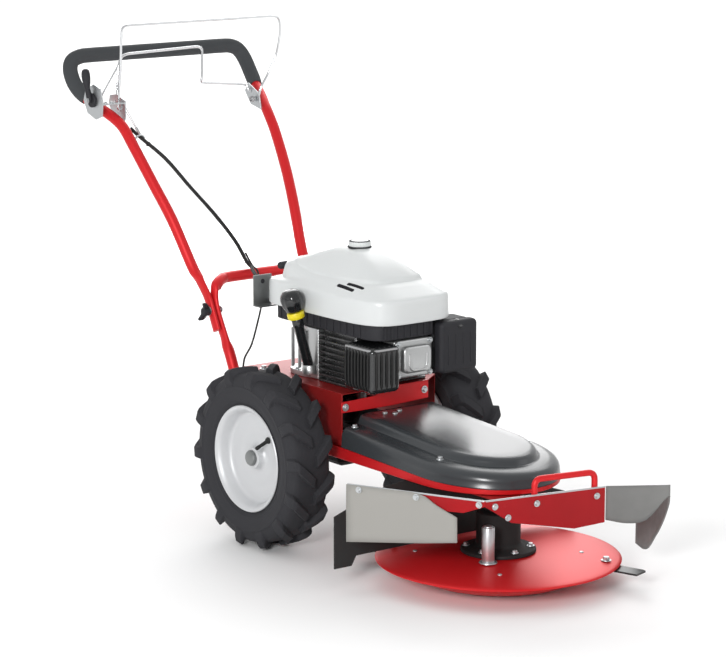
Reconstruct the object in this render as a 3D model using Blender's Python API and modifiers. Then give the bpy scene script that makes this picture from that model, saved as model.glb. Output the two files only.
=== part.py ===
"""Walk-behind brush mower: two driven wheels, a vertical-shaft engine, and a drum cutter under a belt cover.

Metres, +Z up, standing on the ground at z = 0. The machine's front points along -Y and its left along +X.
Places are given as (forward of the axle, left of the middle, up) and turned into X, Y, Z by spot().
"""

from math import atan2, copysign, cos, hypot, pi, radians, sin

import bmesh
import bpy
from mathutils import Matrix, Vector

# Whole machine
AXLE_Y = 0.0316           # the axle's Y, so that the machine is centred on the origin
GAP = 0.0005              # clearance between pieces that touch
SHEET = 0.003             # steel sheet

# Wheels
WHEEL_RADIUS = 0.2
AXLE_UP = 0.200
WHEEL_LEFT = 0.2364       # middle of the tyre, from the middle of the machine
AXLE_RADIUS = 0.010
TREAD_SEGMENTS = 28
TREAD_TWIST = 0.22        # radians that a lug is swept back from crown to shoulder

# Engine
CRANK_FORWARD = 0.045
CRANK_RADIUS = 0.0125
DECK_TOP = 0.355
DECK_REAR, DECK_FRONT = -0.2020, 0.165
CHASSIS_HALF = 0.145
SKIRT_LOW = 0.239         # lower edge of the chassis sides
COVER_LOW = 0.510
DIPSTICK_NECK = 0.1108    # length of the filler tube, up to its cap
COWL_TOP = 0.6455
COWL_MIDDLE, COWL_HALF = 0.030, 0.121
COWL_FRONT, COWL_REAR = (0.218, 3.5), (0.200, 6.0)    # reach from its middle, and how square that end is
ROPE_OUT = (-0.174, -0.032, 0.577)    # where the starter rope leaves the cowl
ROPE_RISE = radians(19.3)
ROPE_LENGTH = 0.150

# Cutter
SPINDLE_FORWARD = 0.5178
SPINDLE_RADIUS = 0.0125
DISC_RADIUS = 0.26
BLADE_BOLT_RADIUS = 0.23
BLADE_BOLT_ANGLE = 37.8   # degrees left of forward
BLADE_ANGLE = 16.4        # where the blade points at rest
BLADE_LENGTH = 0.112

# Belts: each runs at one level, between an engine pulley and a driven one
CUTTER_BELT = dict(low=0.2420, high=0.2560, near=0.0374, far=0.0614, thick=0.008)
DRIVE_BELT = dict(low=0.2875, high=0.2995, near=0.0254, far=0.0514, thick=0.008)
GEARBOX_FORWARD = -0.085

# Belt tray and cover
TRAY_LOW, TRAY_RIM = 0.212, 0.2385
TRAY_HALF, TRAY_NOSE_MIDDLE, TRAY_NOSE = 0.155, 0.45, 0.195
NOSE_DROP = 0.0165        # how far the rim comes down from the chassis to the nose

# Guard, seen from above: rear right end, vertex, left end of the steel, front left corner
GUARD_TOP = 0.238
GUARD_A = (0.4266, -0.3296)
GUARD_B = (0.7068, -0.1973)
GUARD_C = (0.7640, 0.0746)
GUARD_D = (0.8345, 0.1815)

# Handle: (forward, half width, up) along one side, from the lower end to the crossbar
TUBE = 0.0125
CLAMP = (-0.312, 0.467)   # forward and up of the bolt that joins the two handles
CRUSHED = 0.56            # both tubes are pressed to this share of their width round the bolt
LOWER_HALF, UPPER_HALF = 0.1400, 0.1545
UPPER_SIDE = [
    (-0.2900, UPPER_HALF, 0.4240), (-0.3110, UPPER_HALF, 0.4660), (-0.3200, UPPER_HALF, 0.4850),
    (-0.3330, UPPER_HALF, 0.5040), (-0.3575, 0.1550, 0.5300), (-0.3845, 0.1565, 0.5580),
    (-0.439, 0.173, 0.660), (-0.492, 0.189, 0.740), (-0.551, 0.202, 0.820), (-0.585, 0.207, 0.860),
    (-0.611, 0.214, 0.880), (-0.645, 0.227, 0.900), (-0.687, 0.241, 0.922), (-0.722, 0.250, 0.950),
    (-0.745, 0.249, 0.981), (-0.756, 0.238, 1.003), (-0.757, 0.216, 1.013), (-0.757, 0.186, 1.015),
    (-0.757, 0.110, 1.015),
]
LOWER_SIDE = [
    (-0.2150, LOWER_HALF, 0.2770), (-0.2441, LOWER_HALF, 0.3366), (-0.2614, LOWER_HALF, 0.3729),
    (-0.2840, LOWER_HALF, 0.4114), (-0.3020, LOWER_HALF, 0.4440), (-0.3145, LOWER_HALF, 0.4700),
    (-0.3205, LOWER_HALF, 0.4930), (-0.3220, 0.1370, 0.5120), (-0.3290, 0.1250, 0.5240), (-0.3400, 0.1060, 0.5300),
    (-0.3520, 0.0750, 0.5310),
]
GRIP_FROM = 12            # the sleeve starts at this point
GRIP_RADIUS = 0.0175
WIRE = 0.003
CUTTER_BAIL_PIVOT = (-0.620, 0.898)
DRIVE_BAIL_PIVOT = (-0.640, 0.917)
LEVER_PIVOT = (-0.630, 0.925)
BAIL_TOP = 1.097

FINISHES = {
    # name: colour, roughness, metallic
    "red_paint": ((0.62, 0.008, 0.010), 0.30, 0.0),
    "dark_red_paint": ((0.30, 0.006, 0.008), 0.40, 0.0),
    "silver_plastic": ((0.62, 0.64, 0.64), 0.28, 0.2),
    "black_plastic": ((0.012, 0.013, 0.014), 0.35, 0.0),
    "cover_plastic": ((0.035, 0.040, 0.043), 0.22, 0.0),
    "tyre_rubber": ((0.020, 0.021, 0.022), 0.80, 0.0),
    "foam": ((0.045, 0.048, 0.050), 0.90, 0.0),
    "grey_rubber": ((0.30, 0.29, 0.27), 0.75, 0.0),
    "black_rubber": ((0.015, 0.015, 0.016), 0.80, 0.0),
    "zinc": ((0.55, 0.57, 0.58), 0.35, 0.9),
    "chrome_wire": ((0.70, 0.71, 0.72), 0.15, 1.0),
    "aluminium": ((0.52, 0.53, 0.53), 0.40, 0.9),
    "wheel_silver": ((0.58, 0.59, 0.60), 0.35, 0.7),
    "steel": ((0.45, 0.45, 0.46), 0.35, 1.0),
    "blade_steel": ((0.05, 0.05, 0.052), 0.45, 0.8),
    "cast_iron": ((0.03, 0.03, 0.032), 0.60, 0.3),
    "grey_steel": ((0.25, 0.26, 0.26), 0.45, 0.5),
}

parts = None
cutters = None


# ---------------------------------------------------------------- building blocks

def spot(forward, left, up):
    """World point for a place on the machine."""
    return Vector((left, AXLE_Y - forward, up))


def empty_the_scene():
    for obj in list(bpy.data.objects):
        bpy.data.objects.remove(obj, do_unlink=True)


def collection(name):
    made = bpy.data.collections.new(name)
    bpy.context.scene.collection.children.link(made)
    return made


def finish_material(name):
    found = bpy.data.materials.get(name)
    if found:
        return found
    colour, roughness, metallic = FINISHES[name]
    made = bpy.data.materials.new(name)
    made.use_nodes = True
    shader = made.node_tree.nodes["Principled BSDF"]
    shader.inputs["Base Color"].default_value = (*colour, 1.0)
    shader.inputs["Roughness"].default_value = roughness
    shader.inputs["Metallic"].default_value = metallic
    made.diffuse_color = (*colour, 1.0)
    return made


def add_object(name, data, finish, where=None):
    obj = bpy.data.objects.new(name, data)
    (where or parts).objects.link(obj)
    if finish:
        data.materials.clear()
        data.materials.append(finish_material(finish))
    return obj


def as_mesh(obj):
    """The same object as a plain mesh, with a curve's caps welded on and its modifiers applied."""
    bpy.context.view_layer.update()
    graph = bpy.context.evaluated_depsgraph_get()
    mesh = bpy.data.meshes.new_from_object(obj.evaluated_get(graph))
    weld = bmesh.new()
    weld.from_mesh(mesh)
    bmesh.ops.remove_doubles(weld, verts=weld.verts, dist=0.00001)
    bmesh.ops.recalc_face_normals(weld, faces=weld.faces)
    weld.to_mesh(mesh)
    weld.free()
    name, place, home = obj.name, obj.matrix_world.copy(), obj.users_collection[0]
    bpy.data.objects.remove(obj, do_unlink=True)
    made = bpy.data.objects.new(name, mesh)
    made.matrix_world = place
    home.objects.link(made)
    return made


def smooth(obj, angle=35):
    obj.data.shade_smooth()
    obj.data.set_sharp_from_angle(angle=radians(angle))
    return obj


def turned(name, profile, finish, place=(0, 0, 0), steps=28, lie=None):
    """A profile of (radius, up) points turned round the upright axis through place.

    The profile runs down its outer side. If its ends are off the axis, it closes into a ring.
    lie "left" or "right" lays the axis across the machine with its top outboard on that side.
    """
    mesh = bpy.data.meshes.new(name)
    ring = min(profile[0][0], profile[-1][0]) > 0
    count = len(profile)
    edges = [(i, i + 1) for i in range(count - 1)] + ([(count - 1, 0)] if ring else [])
    mesh.from_pydata([(radius, 0, up) for radius, up in profile], edges, [])
    obj = add_object(name, mesh, finish)
    obj.location = place
    if lie:
        obj.rotation_euler = (0, radians(90 if lie == "left" else -90), 0)
    screw = obj.modifiers.new("turn", "SCREW")
    screw.steps = screw.render_steps = steps
    screw.use_merge_vertices = True
    screw.merge_threshold = 0.00001
    return smooth(as_mesh(obj))


def plate(name, outline, thickness, finish, face="top", at=0.0, where=None):
    """A flat piece. outline holds (forward, left) points for face "top", (forward, up) for "side",
    and (left, up) for "front". It fills the thickness from at upwards, leftwards or rearwards."""
    curve = bpy.data.curves.new(name, "CURVE")
    curve.dimensions = "2D"
    curve.fill_mode = "BOTH"
    curve.extrude = thickness / 2
    line = curve.splines.new("POLY")
    line.points.add(len(outline) - 1)
    for point, (a, b) in zip(line.points, outline):
        point.co = (a, b, 0, 1)
    line.use_cyclic_u = True
    obj = add_object(name, curve, finish, where)
    middle = at + thickness / 2
    if face == "top":        # local x = forward, y = left, z = down
        frame = Matrix(((0, 1, 0, 0), (-1, 0, 0, AXLE_Y), (0, 0, 1, middle), (0, 0, 0, 1)))
    elif face == "side":     # local x = forward, y = up, z = left
        frame = Matrix(((0, 0, 1, middle), (-1, 0, 0, AXLE_Y), (0, 1, 0, 0), (0, 0, 0, 1)))
    else:                    # local x = left, y = up, z = forward
        frame = Matrix(((1, 0, 0, 0), (0, 0, -1, AXLE_Y - middle), (0, 1, 0, 0), (0, 0, 0, 1)))
    obj.matrix_world = frame
    made = as_mesh(obj)
    made.data.transform(frame)
    made.matrix_world = Matrix.Identity(4)
    fix = bmesh.new()
    fix.from_mesh(made.data)
    bmesh.ops.recalc_face_normals(fix, faces=fix.faces)
    fix.to_mesh(made.data)
    fix.free()
    return made


def block(name, low, high, finish, bevel=0.0, where=None):
    """A box between two corners given as (forward, left, up), with rounded edges."""
    mesh = bpy.data.meshes.new(name)
    shape = bmesh.new()
    bmesh.ops.create_cube(shape, size=1.0)
    a, b = spot(*low), spot(*high)
    size = Vector([abs(b[i] - a[i]) for i in range(3)])
    bmesh.ops.scale(shape, vec=size, verts=shape.verts)
    bmesh.ops.translate(shape, vec=(a + b) / 2, verts=shape.verts)
    shape.to_mesh(mesh)
    shape.free()
    obj = add_object(name, mesh, finish, where)
    if bevel:
        soften(obj, bevel, 1)
    return obj


def soften(obj, width, segments=1, angle=40):
    bevel = obj.modifiers.new("soften", "BEVEL")
    bevel.width = width
    bevel.segments = segments
    bevel.limit_method = "ANGLE"
    bevel.angle_limit = radians(angle)
    return obj


def catmull(points, per_span):
    """Points of a smooth curve through the given ones."""
    ends = [points[0] * 2 - points[1], *points, points[-1] * 2 - points[-2]]
    line = []
    for i in range(1, len(ends) - 2):
        p0, p1, p2, p3 = ends[i - 1:i + 3]
        for k in range(per_span):
            t = k / per_span
            line.append(0.5 * (2 * p1 + (p2 - p0) * t + (2 * p0 - 5 * p1 + 4 * p2 - p3) * t ** 2
                               + (3 * p1 - p0 - 3 * p2 + p3) * t ** 3))
    return line + [points[-1]]


def rod(name, points, radius, finish, sides=8, caps=True):
    """A round bar along world points."""
    curve = bpy.data.curves.new(name, "CURVE")
    curve.dimensions = "3D"
    curve.bevel_depth = radius
    curve.bevel_resolution = sides // 2 - 2
    curve.use_fill_caps = caps
    line = curve.splines.new("POLY")
    line.points.add(len(points) - 1)
    for point, place in zip(line.points, points):
        point.co = (*place, 1)
    return add_object(name, curve, finish)


def pin(name, start, end, radius, finish=None, sides=16, where=None):
    """A straight cylinder between two world points."""
    mesh = bpy.data.meshes.new(name)
    shape = bmesh.new()
    length = (end - start).length
    bmesh.ops.create_cone(shape, cap_ends=True, segments=sides, radius1=radius, radius2=radius, depth=length)
    turn = (end - start).to_track_quat("Z", "Y").to_matrix().to_4x4()
    bmesh.ops.transform(shape, matrix=Matrix.Translation((start + end) / 2) @ turn, verts=shape.verts)
    shape.to_mesh(mesh)
    shape.free()
    return add_object(name, mesh, finish, where)


def cutter(name, start, end, radius, sides=16):
    obj = pin(name, start, end, radius, sides=sides, where=cutters)
    return hidden(obj)


def hidden(obj):
    obj.hide_render = True
    obj.display_type = "WIRE"
    return obj


def cut(obj, *tools):
    for tool in tools:
        boolean = obj.modifiers.new("cut", "BOOLEAN")
        boolean.operation = "DIFFERENCE"
        boolean.object = tool
    return obj


def joined(name, finish, *pieces):
    """One body out of overlapping meshes."""
    first, rest = pieces[0], pieces[1:]
    for piece in rest:
        boolean = first.modifiers.new("join", "BOOLEAN")
        boolean.operation = "UNION"
        boolean.object = piece
    made = as_mesh(first)
    for piece in rest:
        bpy.data.objects.remove(piece, do_unlink=True)
    made.name = name
    made.data.name = name
    made.data.materials.clear()
    made.data.materials.append(finish_material(finish))
    return made


def lofted(name, rings, finish, thickness=None):
    """A skin over rings of world points, capped at its last ring, open below if it has a thickness."""
    shape = bmesh.new()
    rows = [[shape.verts.new(point) for point in ring] for ring in rings]
    for lower, upper in zip(rows, rows[1:]):
        count = len(lower)
        for i in range(count):
            j = (i + 1) % count
            shape.faces.new((lower[i], lower[j], upper[j], upper[i]))
    shape.faces.new(rows[-1])
    if not thickness:
        shape.faces.new(rows[0])
    bmesh.ops.recalc_face_normals(shape, faces=shape.faces)
    middle = sum((v.co for v in shape.verts), Vector()) / len(shape.verts)
    cap = max(shape.faces, key=lambda face: face.calc_center_median().z)
    if cap.normal.z < 0 and cap.calc_center_median().z > middle.z:
        bmesh.ops.reverse_faces(shape, faces=shape.faces)
    mesh = bpy.data.meshes.new(name)
    shape.to_mesh(mesh)
    shape.free()
    obj = add_object(name, mesh, finish)
    if thickness:
        shell = obj.modifiers.new("wall", "SOLIDIFY")
        shell.thickness = thickness
        shell.offset = -1
        shell.use_even_offset = True
    return smooth(obj, 40)


def arc(middle, radius, start, end, steps):
    """Points (a, b) round a circle, angles in degrees."""
    return [(middle[0] + radius * cos(radians(start + (end - start) * i / steps)),
             middle[1] + radius * sin(radians(start + (end - start) * i / steps))) for i in range(steps + 1)]


def mirrored(points):
    return [(forward, -left, up) for forward, left, up in points]


# ---------------------------------------------------------------- chassis

def chassis():
    """A box of folded sheet, open below and in front, with ears that hold the axle."""
    half, wall, ear = CHASSIS_HALF, SHEET, 0.172
    frame = block("chassis_frame", (DECK_REAR, -half, ear), (DECK_FRONT, half, DECK_TOP), "dark_red_paint")
    hollow = block("chassis_hollow", (DECK_REAR + wall, wall - half, 0.1), (0.30, half - wall, DECK_TOP - wall), None,
                   where=cutters)
    corner = plate("corner_cut", [(0.20, 0.092), (DECK_FRONT, 0.092), (0.115, 0.160), (0.20, 0.160)], 0.40, None, "top",
                   0.05, cutters)
    cut(frame, hidden(hollow), hidden(corner))
    for name, back, front in (("ear_rear_cut", DECK_REAR - 0.01, -0.042), ("ear_front_cut", 0.042, DECK_FRONT + 0.01)):
        cut(frame, hidden(block(name, (back, -0.2, 0.10), (front, 0.2, SKIRT_LOW), None, where=cutters)))
    cut(frame, cutter("axle_cut", spot(0, -0.2, AXLE_UP), spot(0, 0.2, AXLE_UP), AXLE_RADIUS + GAP),
        cutter("crank_cut", spot(CRANK_FORWARD, 0, 0.34), spot(CRANK_FORWARD, 0, 0.37), 0.022))
    front = [(-0.148, 0.313), (-0.148, 0.337), (-0.056, 0.340), (-0.020, 0.356), (0.092, 0.356),
             (0.092, 0.316), (-0.010, 0.312), (-0.060, 0.312)]
    plate("front_bracket", front, SHEET, "red_paint", "front", DECK_FRONT + GAP)


def oval_outline(rear, half, tip, nose_middle=TRAY_NOSE_MIDDLE, steps=14):
    """(forward, left) points: square at the rear, half an ellipse at the nose."""
    reach = tip - nose_middle
    nose = [(nose_middle + reach * sin(pi * i / steps), -half * cos(pi * i / steps)) for i in range(steps + 1)]
    return [(rear, -half * 0.97), *nose, (rear, half * 0.97)]


def sloped(forward, up):
    """The height of the cover's and tray's edges, which come down towards the nose, the top more than the rim."""
    reach = max(0.0, (forward - DECK_FRONT) / (TRAY_NOSE_MIDDLE + TRAY_NOSE - DECK_FRONT))
    return up - reach * (NOSE_DROP + 0.30 * (up - TRAY_RIM))


def belt_tray():
    outer = oval_outline(0.0965, TRAY_HALF, TRAY_NOSE_MIDDLE + TRAY_NOSE)
    rings = [[spot(f, l, sloped(f, TRAY_RIM)) for f, l in outer], [spot(f, l, TRAY_LOW) for f, l in outer]]
    shape = bmesh.new()
    rows = [[shape.verts.new(point) for point in ring] for ring in rings]
    for i in range(len(outer)):
        j = (i + 1) % len(outer)
        shape.faces.new((rows[0][i], rows[0][j], rows[1][j], rows[1][i]))
    shape.faces.new(rows[1])
    bmesh.ops.recalc_face_normals(shape, faces=shape.faces)
    floor = min(shape.faces, key=lambda face: face.calc_center_median().z)
    if floor.normal.z > 0:
        bmesh.ops.reverse_faces(shape, faces=shape.faces)
    mesh = bpy.data.meshes.new("belt_tray")
    shape.to_mesh(mesh)
    shape.free()
    tray = add_object("belt_tray", mesh, "red_paint")
    shell = tray.modifiers.new("wall", "SOLIDIFY")
    shell.thickness = 0.0025
    shell.offset = -1
    shell.use_even_offset = True
    cut(tray, cutter("spindle_cut", spot(SPINDLE_FORWARD, 0, 0.19), spot(SPINDLE_FORWARD, 0, 0.23), 0.020))


def belt_cover():
    """Two-level plastic cover over the belts, with a window at the rear where they come in."""
    rear, tip = DECK_FRONT + SHEET + 3 * GAP, TRAY_NOSE_MIDDLE + TRAY_NOSE
    levels = [  # rear edge, half width, tip, up
        (rear, TRAY_HALF, tip, TRAY_RIM + 2 * GAP), (rear, TRAY_HALF - 0.001, tip - 0.001, 0.270),
        (rear + 0.002, TRAY_HALF - 0.010, tip - 0.010, 0.283), (rear + 0.004, 0.112, tip - 0.048, 0.288),
        (rear + 0.006, 0.107, tip - 0.054, 0.303), (rear + 0.010, 0.094, tip - 0.068, 0.310),
    ]
    rings = [[spot(f, l, sloped(f, up)) for f, l in oval_outline(back, half, front)]
             for back, half, front, up in levels]
    cover = lofted("belt_cover", rings, "cover_plastic", 0.0025)
    cut(cover, hidden(block("belt_window", (rear - 0.02, -0.10, 0.20), (rear + 0.02, 0.10, 0.2815), None, where=cutters)))


def spindle_housing():
    profile = [(0.058, 0.2115), (0.058, 0.204), (0.037, 0.200), (0.036, 0.156), (0.030, 0.150),
               (0.0130, 0.150), (0.0130, 0.2115)]
    turned("spindle_housing", profile, "cast_iron", spot(SPINDLE_FORWARD, 0, 0), 24)


def gearbox():
    box = block("gearbox", (-0.130, -0.055, 0.155), (0.042, 0.055, 0.235), "cast_iron", 0.010)
    cut(box, cutter("gearbox_axle_cut", spot(0, -0.1, AXLE_UP), spot(0, 0.1, AXLE_UP), AXLE_RADIUS + GAP),
        cutter("gearbox_shaft_cut", spot(GEARBOX_FORWARD, 0, 0.205), spot(GEARBOX_FORWARD, 0, 0.25), 0.0085))


# ---------------------------------------------------------------- guard

def along(start, end, distance):
    reach = hypot(end[0] - start[0], end[1] - start[1])
    return tuple(a + (b - a) * distance / reach for a, b in zip(start, end))


def outward(start, end):
    """Unit (forward, left) direction that faces away from the cutter."""
    step = (end[0] - start[0], end[1] - start[1])
    reach = hypot(*step)
    return (step[1] / reach, -step[0] / reach)


def standing_sheet(name, path, lows, highs, thickness, finish):
    """An upright sheet over a path of (forward, left) points, its foot and head given at each point."""
    shape = bmesh.new()
    low = [shape.verts.new(spot(f, l, up)) for (f, l), up in zip(path, lows)]
    high = [shape.verts.new(spot(f, l, up)) for (f, l), up in zip(path, highs)]
    for i in range(len(path) - 1):
        shape.faces.new((low[i], low[i + 1], high[i + 1], high[i]))
    mesh = bpy.data.meshes.new(name)
    shape.to_mesh(mesh)
    shape.free()
    obj = add_object(name, mesh, finish)
    skin = obj.modifiers.new("sheet", "SOLIDIFY")
    skin.thickness = thickness
    skin.offset = 0
    skin.use_even_offset = True
    return obj


def guard():
    """A bent steel strip across the front right, with rubber flaps and an apron behind the cutter."""
    reach = hypot(GUARD_C[0] - GUARD_B[0], GUARD_C[1] - GUARD_B[1])
    stations = [(0.0, 0.226), (0.060, 0.186), (0.206, 0.157), (reach, 0.162)]
    side = hypot(GUARD_B[0] - GUARD_A[0], GUARD_B[1] - GUARD_A[1])
    path = [GUARD_A, along(GUARD_A, GUARD_B, side * 0.55), along(GUARD_A, GUARD_B, side * 0.85)]
    lows = [0.212, 0.205, 0.208]
    path += [along(GUARD_B, GUARD_C, s) for s, _ in stations]
    lows += [low for _, low in stations]
    standing_sheet("guard_plate", path, lows, [GUARD_TOP] * len(path), SHEET, "red_paint")

    away = outward(GUARD_A, GUARD_B)
    shift = SHEET / 2 + GAP + 0.002
    board = [(0.0, 0.116, 0.2375), (0.08, 0.125, 0.2375), (0.165, 0.134, 0.2365), (0.205, 0.139, 0.217),
             (0.250, 0.145, 0.197)]
    path = [tuple(c + shift * a for c, a in zip(along(GUARD_A, GUARD_B, s), away)) for s, _, _ in board]
    standing_sheet("flap_right", path, [b[1] for b in board], [b[2] for b in board], 0.004, "grey_rubber")

    away = outward(GUARD_B, GUARD_C)
    start = tuple(c + 0.0005 * a for c, a in zip(along(GUARD_B, GUARD_C, reach + 0.0022), away))
    bend = [(0.0, 0.167, 0.238), (0.045, 0.159, 0.238), (0.085, 0.166, 0.238)]
    path = [along(start, GUARD_D, s) for s, _, _ in bend]
    lows, highs = [b[1] for b in bend], [b[2] for b in bend]
    path += [GUARD_D, (0.8330, 0.190), (0.812, 0.206), (0.770, 0.232), (0.720, 0.260), (0.665, 0.288), (0.615, 0.305)]
    lows += [0.212, 0.206, 0.180, 0.135, 0.090, 0.046, 0.046]
    highs += [0.238, 0.237, 0.226, 0.205, 0.188, 0.176, 0.168]
    standing_sheet("flap_left", path, lows, highs, 0.004, "grey_rubber")

    away = outward(GUARD_B, GUARD_C)
    apron = [(-0.335, 0.160), (-0.335, 0.048), (-0.290, 0.048), (-0.278, 0.068), (0.278, 0.068), (0.290, 0.048),
             (0.335, 0.048), (0.335, 0.105), (0.200, 0.150), (0.110, 0.2112), (-0.110, 0.2112), (-0.200, 0.205)]
    plate("apron_rear", apron, 0.004, "black_rubber", "front", 0.386)

    bar = [(0.560, 0.2085), (0.690, 0.2085), (0.7145, 0.2085), (0.7145, 0.232), (0.7115, 0.232), (0.7115, 0.2115),
           (0.560, 0.2115)]
    plate("guard_arm", bar, 0.070, "dark_red_paint", "side", -0.110)
    foot, top = 0.2050, 0.268
    ends = [tuple(c - 0.0085 * a for c, a in zip(along(GUARD_B, GUARD_C, s), away)) for s in (0.118, 0.258)]
    posts = [spot(*ends[0], foot), spot(*ends[0], top - 0.012), spot(*along(ends[0], ends[1], 0.012), top),
             spot(*along(ends[1], ends[0], 0.012), top), spot(*ends[1], top - 0.012), spot(*ends[1], foot)]
    rod("guard_handle", posts, 0.0065, "red_paint")


# ---------------------------------------------------------------- wheels

def tyre(name, side):
    """Carcass turned from its section, then every second tread segment raised into a swept lug."""
    half = [(0.1078, 0.0388), (0.1186, 0.0400), (0.128, 0.0475), (0.150, 0.0525), (0.172, 0.0505),
            (0.184, 0.0440), (0.1880, 0.0040)]
    section = half + [(r, -l) for r, l in reversed(half)]
    obj = turned(name, section, "tyre_rubber", (0, 0, 0), TREAD_SEGMENTS)
    shape = bmesh.new()
    shape.from_mesh(obj.data)
    step = 2 * pi / TREAD_SEGMENTS
    rows = {}
    for face in shape.faces:
        middle = face.calc_center_median()
        if hypot(middle.x, middle.y) < 0.174 or abs(middle.z) < 0.004:
            continue
        place = int(round(atan2(middle.y, middle.x) / step - 0.5)) % TREAD_SEGMENTS
        rows.setdefault((place, middle.z > 0), []).append(face)
    for (place, upper), faces in rows.items():
        if (place + upper) % 2:
            continue
        raised = bmesh.ops.extrude_face_region(shape, geom=faces)["geom"]
        bmesh.ops.delete(shape, geom=faces, context="FACES_ONLY")
        for vert in (v for v in raised if isinstance(v, bmesh.types.BMVert)):
            radius = hypot(vert.co.x, vert.co.y)
            lifted = WHEEL_RADIUS if radius > 0.180 else radius + 0.008
            vert.co.x *= lifted / radius
            vert.co.y *= lifted / radius
            vert.co.z *= 1.03
    loose = [edge for edge in shape.edges if not edge.link_faces]
    bmesh.ops.delete(shape, geom=loose, context="EDGES")
    for vert in shape.verts:
        swept = hypot(vert.co.x, vert.co.y) > 0.160
        turn = -side * TREAD_TWIST * abs(vert.co.z) / 0.048 if swept else 0
        vert.co = Matrix.Rotation(turn, 3, "Z") @ vert.co
    bmesh.ops.recalc_face_normals(shape, faces=shape.faces)
    shape.to_mesh(obj.data)
    shape.free()
    obj.rotation_euler = (0, radians(90 * side), 0)
    obj.location = spot(0, side * WHEEL_LEFT, AXLE_UP)
    return smooth(obj)


def rim(name, side):
    section = [
        (0.117, 0.0440), (0.117, 0.0410), (0.107, 0.0395), (0.107, -0.0395), (0.117, -0.0410), (0.117, -0.0440),
        (0.104, -0.0430), (0.104, 0.0020), (0.060, 0.0060), (0.030, -0.0040), (0.022, -0.0400),
        (0.0105, -0.0400), (0.0105, 0.0300), (0.024, 0.0300), (0.030, 0.0100), (0.060, 0.0100), (0.100, 0.0120),
        (0.1045, 0.0440),
    ]
    turned(name, section, "wheel_silver", spot(0, side * WHEEL_LEFT, AXLE_UP), TREAD_SEGMENTS,
           "left" if side > 0 else "right")


def wheels():
    for side, word in ((-1, "right"), (1, "left")):
        tyre("tyre_" + word, side)
        rim("rim_" + word, side)
    end = WHEEL_LEFT + 0.0305
    profile = [(0, end + 0.008), (0.014, end + 0.008), (0.017, end + 0.005), (0.017, end), (AXLE_RADIUS, end),
               (AXLE_RADIUS, -end), (0.017, -end), (0.017, -end - 0.005), (0.014, -end - 0.008), (0, -end - 0.008)]
    turned("axle", profile, "steel", spot(0, 0, AXLE_UP), 16, "left")


# ---------------------------------------------------------------- cutter

def rotor():
    middle = spot(SPINDLE_FORWARD, 0, 0)
    shaft = [(0, 0.2660), (0.0115, 0.2660), (SPINDLE_RADIUS, 0.2650), (SPINDLE_RADIUS, 0.0330),
             (0.0100, 0.0330), (0.0100, 0.0060), (0, 0.0060)]
    turned("spindle_shaft", shaft, "steel", middle, 16)
    pulley("spindle_pulley", middle, [CUTTER_BELT["low"] - 0.001], 0.0600, 0.070, 0.0129)
    drum = [(0.040, 0.1480), (0.047, 0.1440), (0.047, 0.0800), (0.058, 0.0720), (0.078, 0.0690), (0.080, 0.0620),
            (0.0129, 0.0620), (0.0129, 0.1480)]
    turned("drum", drum, "cast_iron", middle, 28)
    disc = [(0.0129, 0.0615), (0.100, 0.0605), (0.200, 0.0560), (0.255, 0.0505), (DISC_RADIUS, 0.0480),
            (0.2595, 0.0460), (0.2540, 0.0455), (0.200, 0.0515), (0.100, 0.0560), (0.0129, 0.0570)]
    plate_disc = turned("cutter_disc", disc, "red_paint", middle, 40)
    dish = [(0, 0.0040), (0.0095, 0.0040), (0.0105, 0.0045), (0.0105, 0.0300), (0.026, 0.0300), (0.030, 0.0045),
            (0.120, 0.0040), (0.170, 0.0150), (0.197, 0.0310), (0.200, 0.0290), (0.172, 0.0115), (0.122, 0), (0, 0)]
    turned("glide_dish", dish, "red_paint", middle, 32)
    for name, angle in (("a", BLADE_BOLT_ANGLE), ("b", BLADE_BOLT_ANGLE + 180)):
        place = polar(BLADE_BOLT_RADIUS, angle)
        hole = cutter("bolt_cut_" + name, spot(*place, 0.03), spot(*place, 0.07), 0.0066)
        cut(plate_disc, hole)
        blade("blade_" + name, place, BLADE_ANGLE + angle - BLADE_BOLT_ANGLE)
        bolt = [(0, 0.0640), (0.0095, 0.0640), (0.0115, 0.0620), (0.0115, 0.0562), (0.0060, 0.0562), (0.0060, 0.0385),
                (0.0120, 0.0385), (0.0120, 0.0350), (0, 0.0350)]
        turned("blade_bolt_" + name, bolt, "steel", spot(*place, 0), 12)
    for name, angle in (("front", -52.0), ("rear", 128.0)):
        post = [(0, 0.1390), (0.0125, 0.1390), (0.0135, 0.1380), (0.0135, 0.0620), (0, 0.0620)]
        turned("rotor_post_" + name, post, "zinc", spot(*polar(0.104, angle), 0), 16)


def polar(radius, angle):
    """(forward, left) at an angle left of forward, round the spindle."""
    return (SPINDLE_FORWARD + radius * cos(radians(angle)), radius * sin(radians(angle)))


def blade(name, place, angle):
    """A flat blade that swings on its bolt, with a round heel and a bevelled tip."""
    ahead, aside = (cos(radians(angle)), sin(radians(angle))), (-sin(radians(angle)), cos(radians(angle)))
    heel = [(-0.020 * sin(radians(a)), 0.020 * cos(radians(a))) for a in range(0, 181, 30)]
    shape = heel + [(BLADE_LENGTH - 0.026, -0.020), (BLADE_LENGTH - 0.026, 0.016), (BLADE_LENGTH - 0.034, 0.020)]
    outline = [tuple(p + u * a + v * b for p, a, b in zip(place, ahead, aside)) for u, v in shape]
    made = plate(name, outline, 0.004, "blade_steel", "top", 0.0395)
    cut(made, cutter(name + "_cut", spot(*place, 0.03), spot(*place, 0.05), 0.0066))
    set_origin(made, spot(*place, 0.0415))


def set_origin(obj, place):
    obj.data.transform(Matrix.Translation(-place))
    obj.location = place


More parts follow.
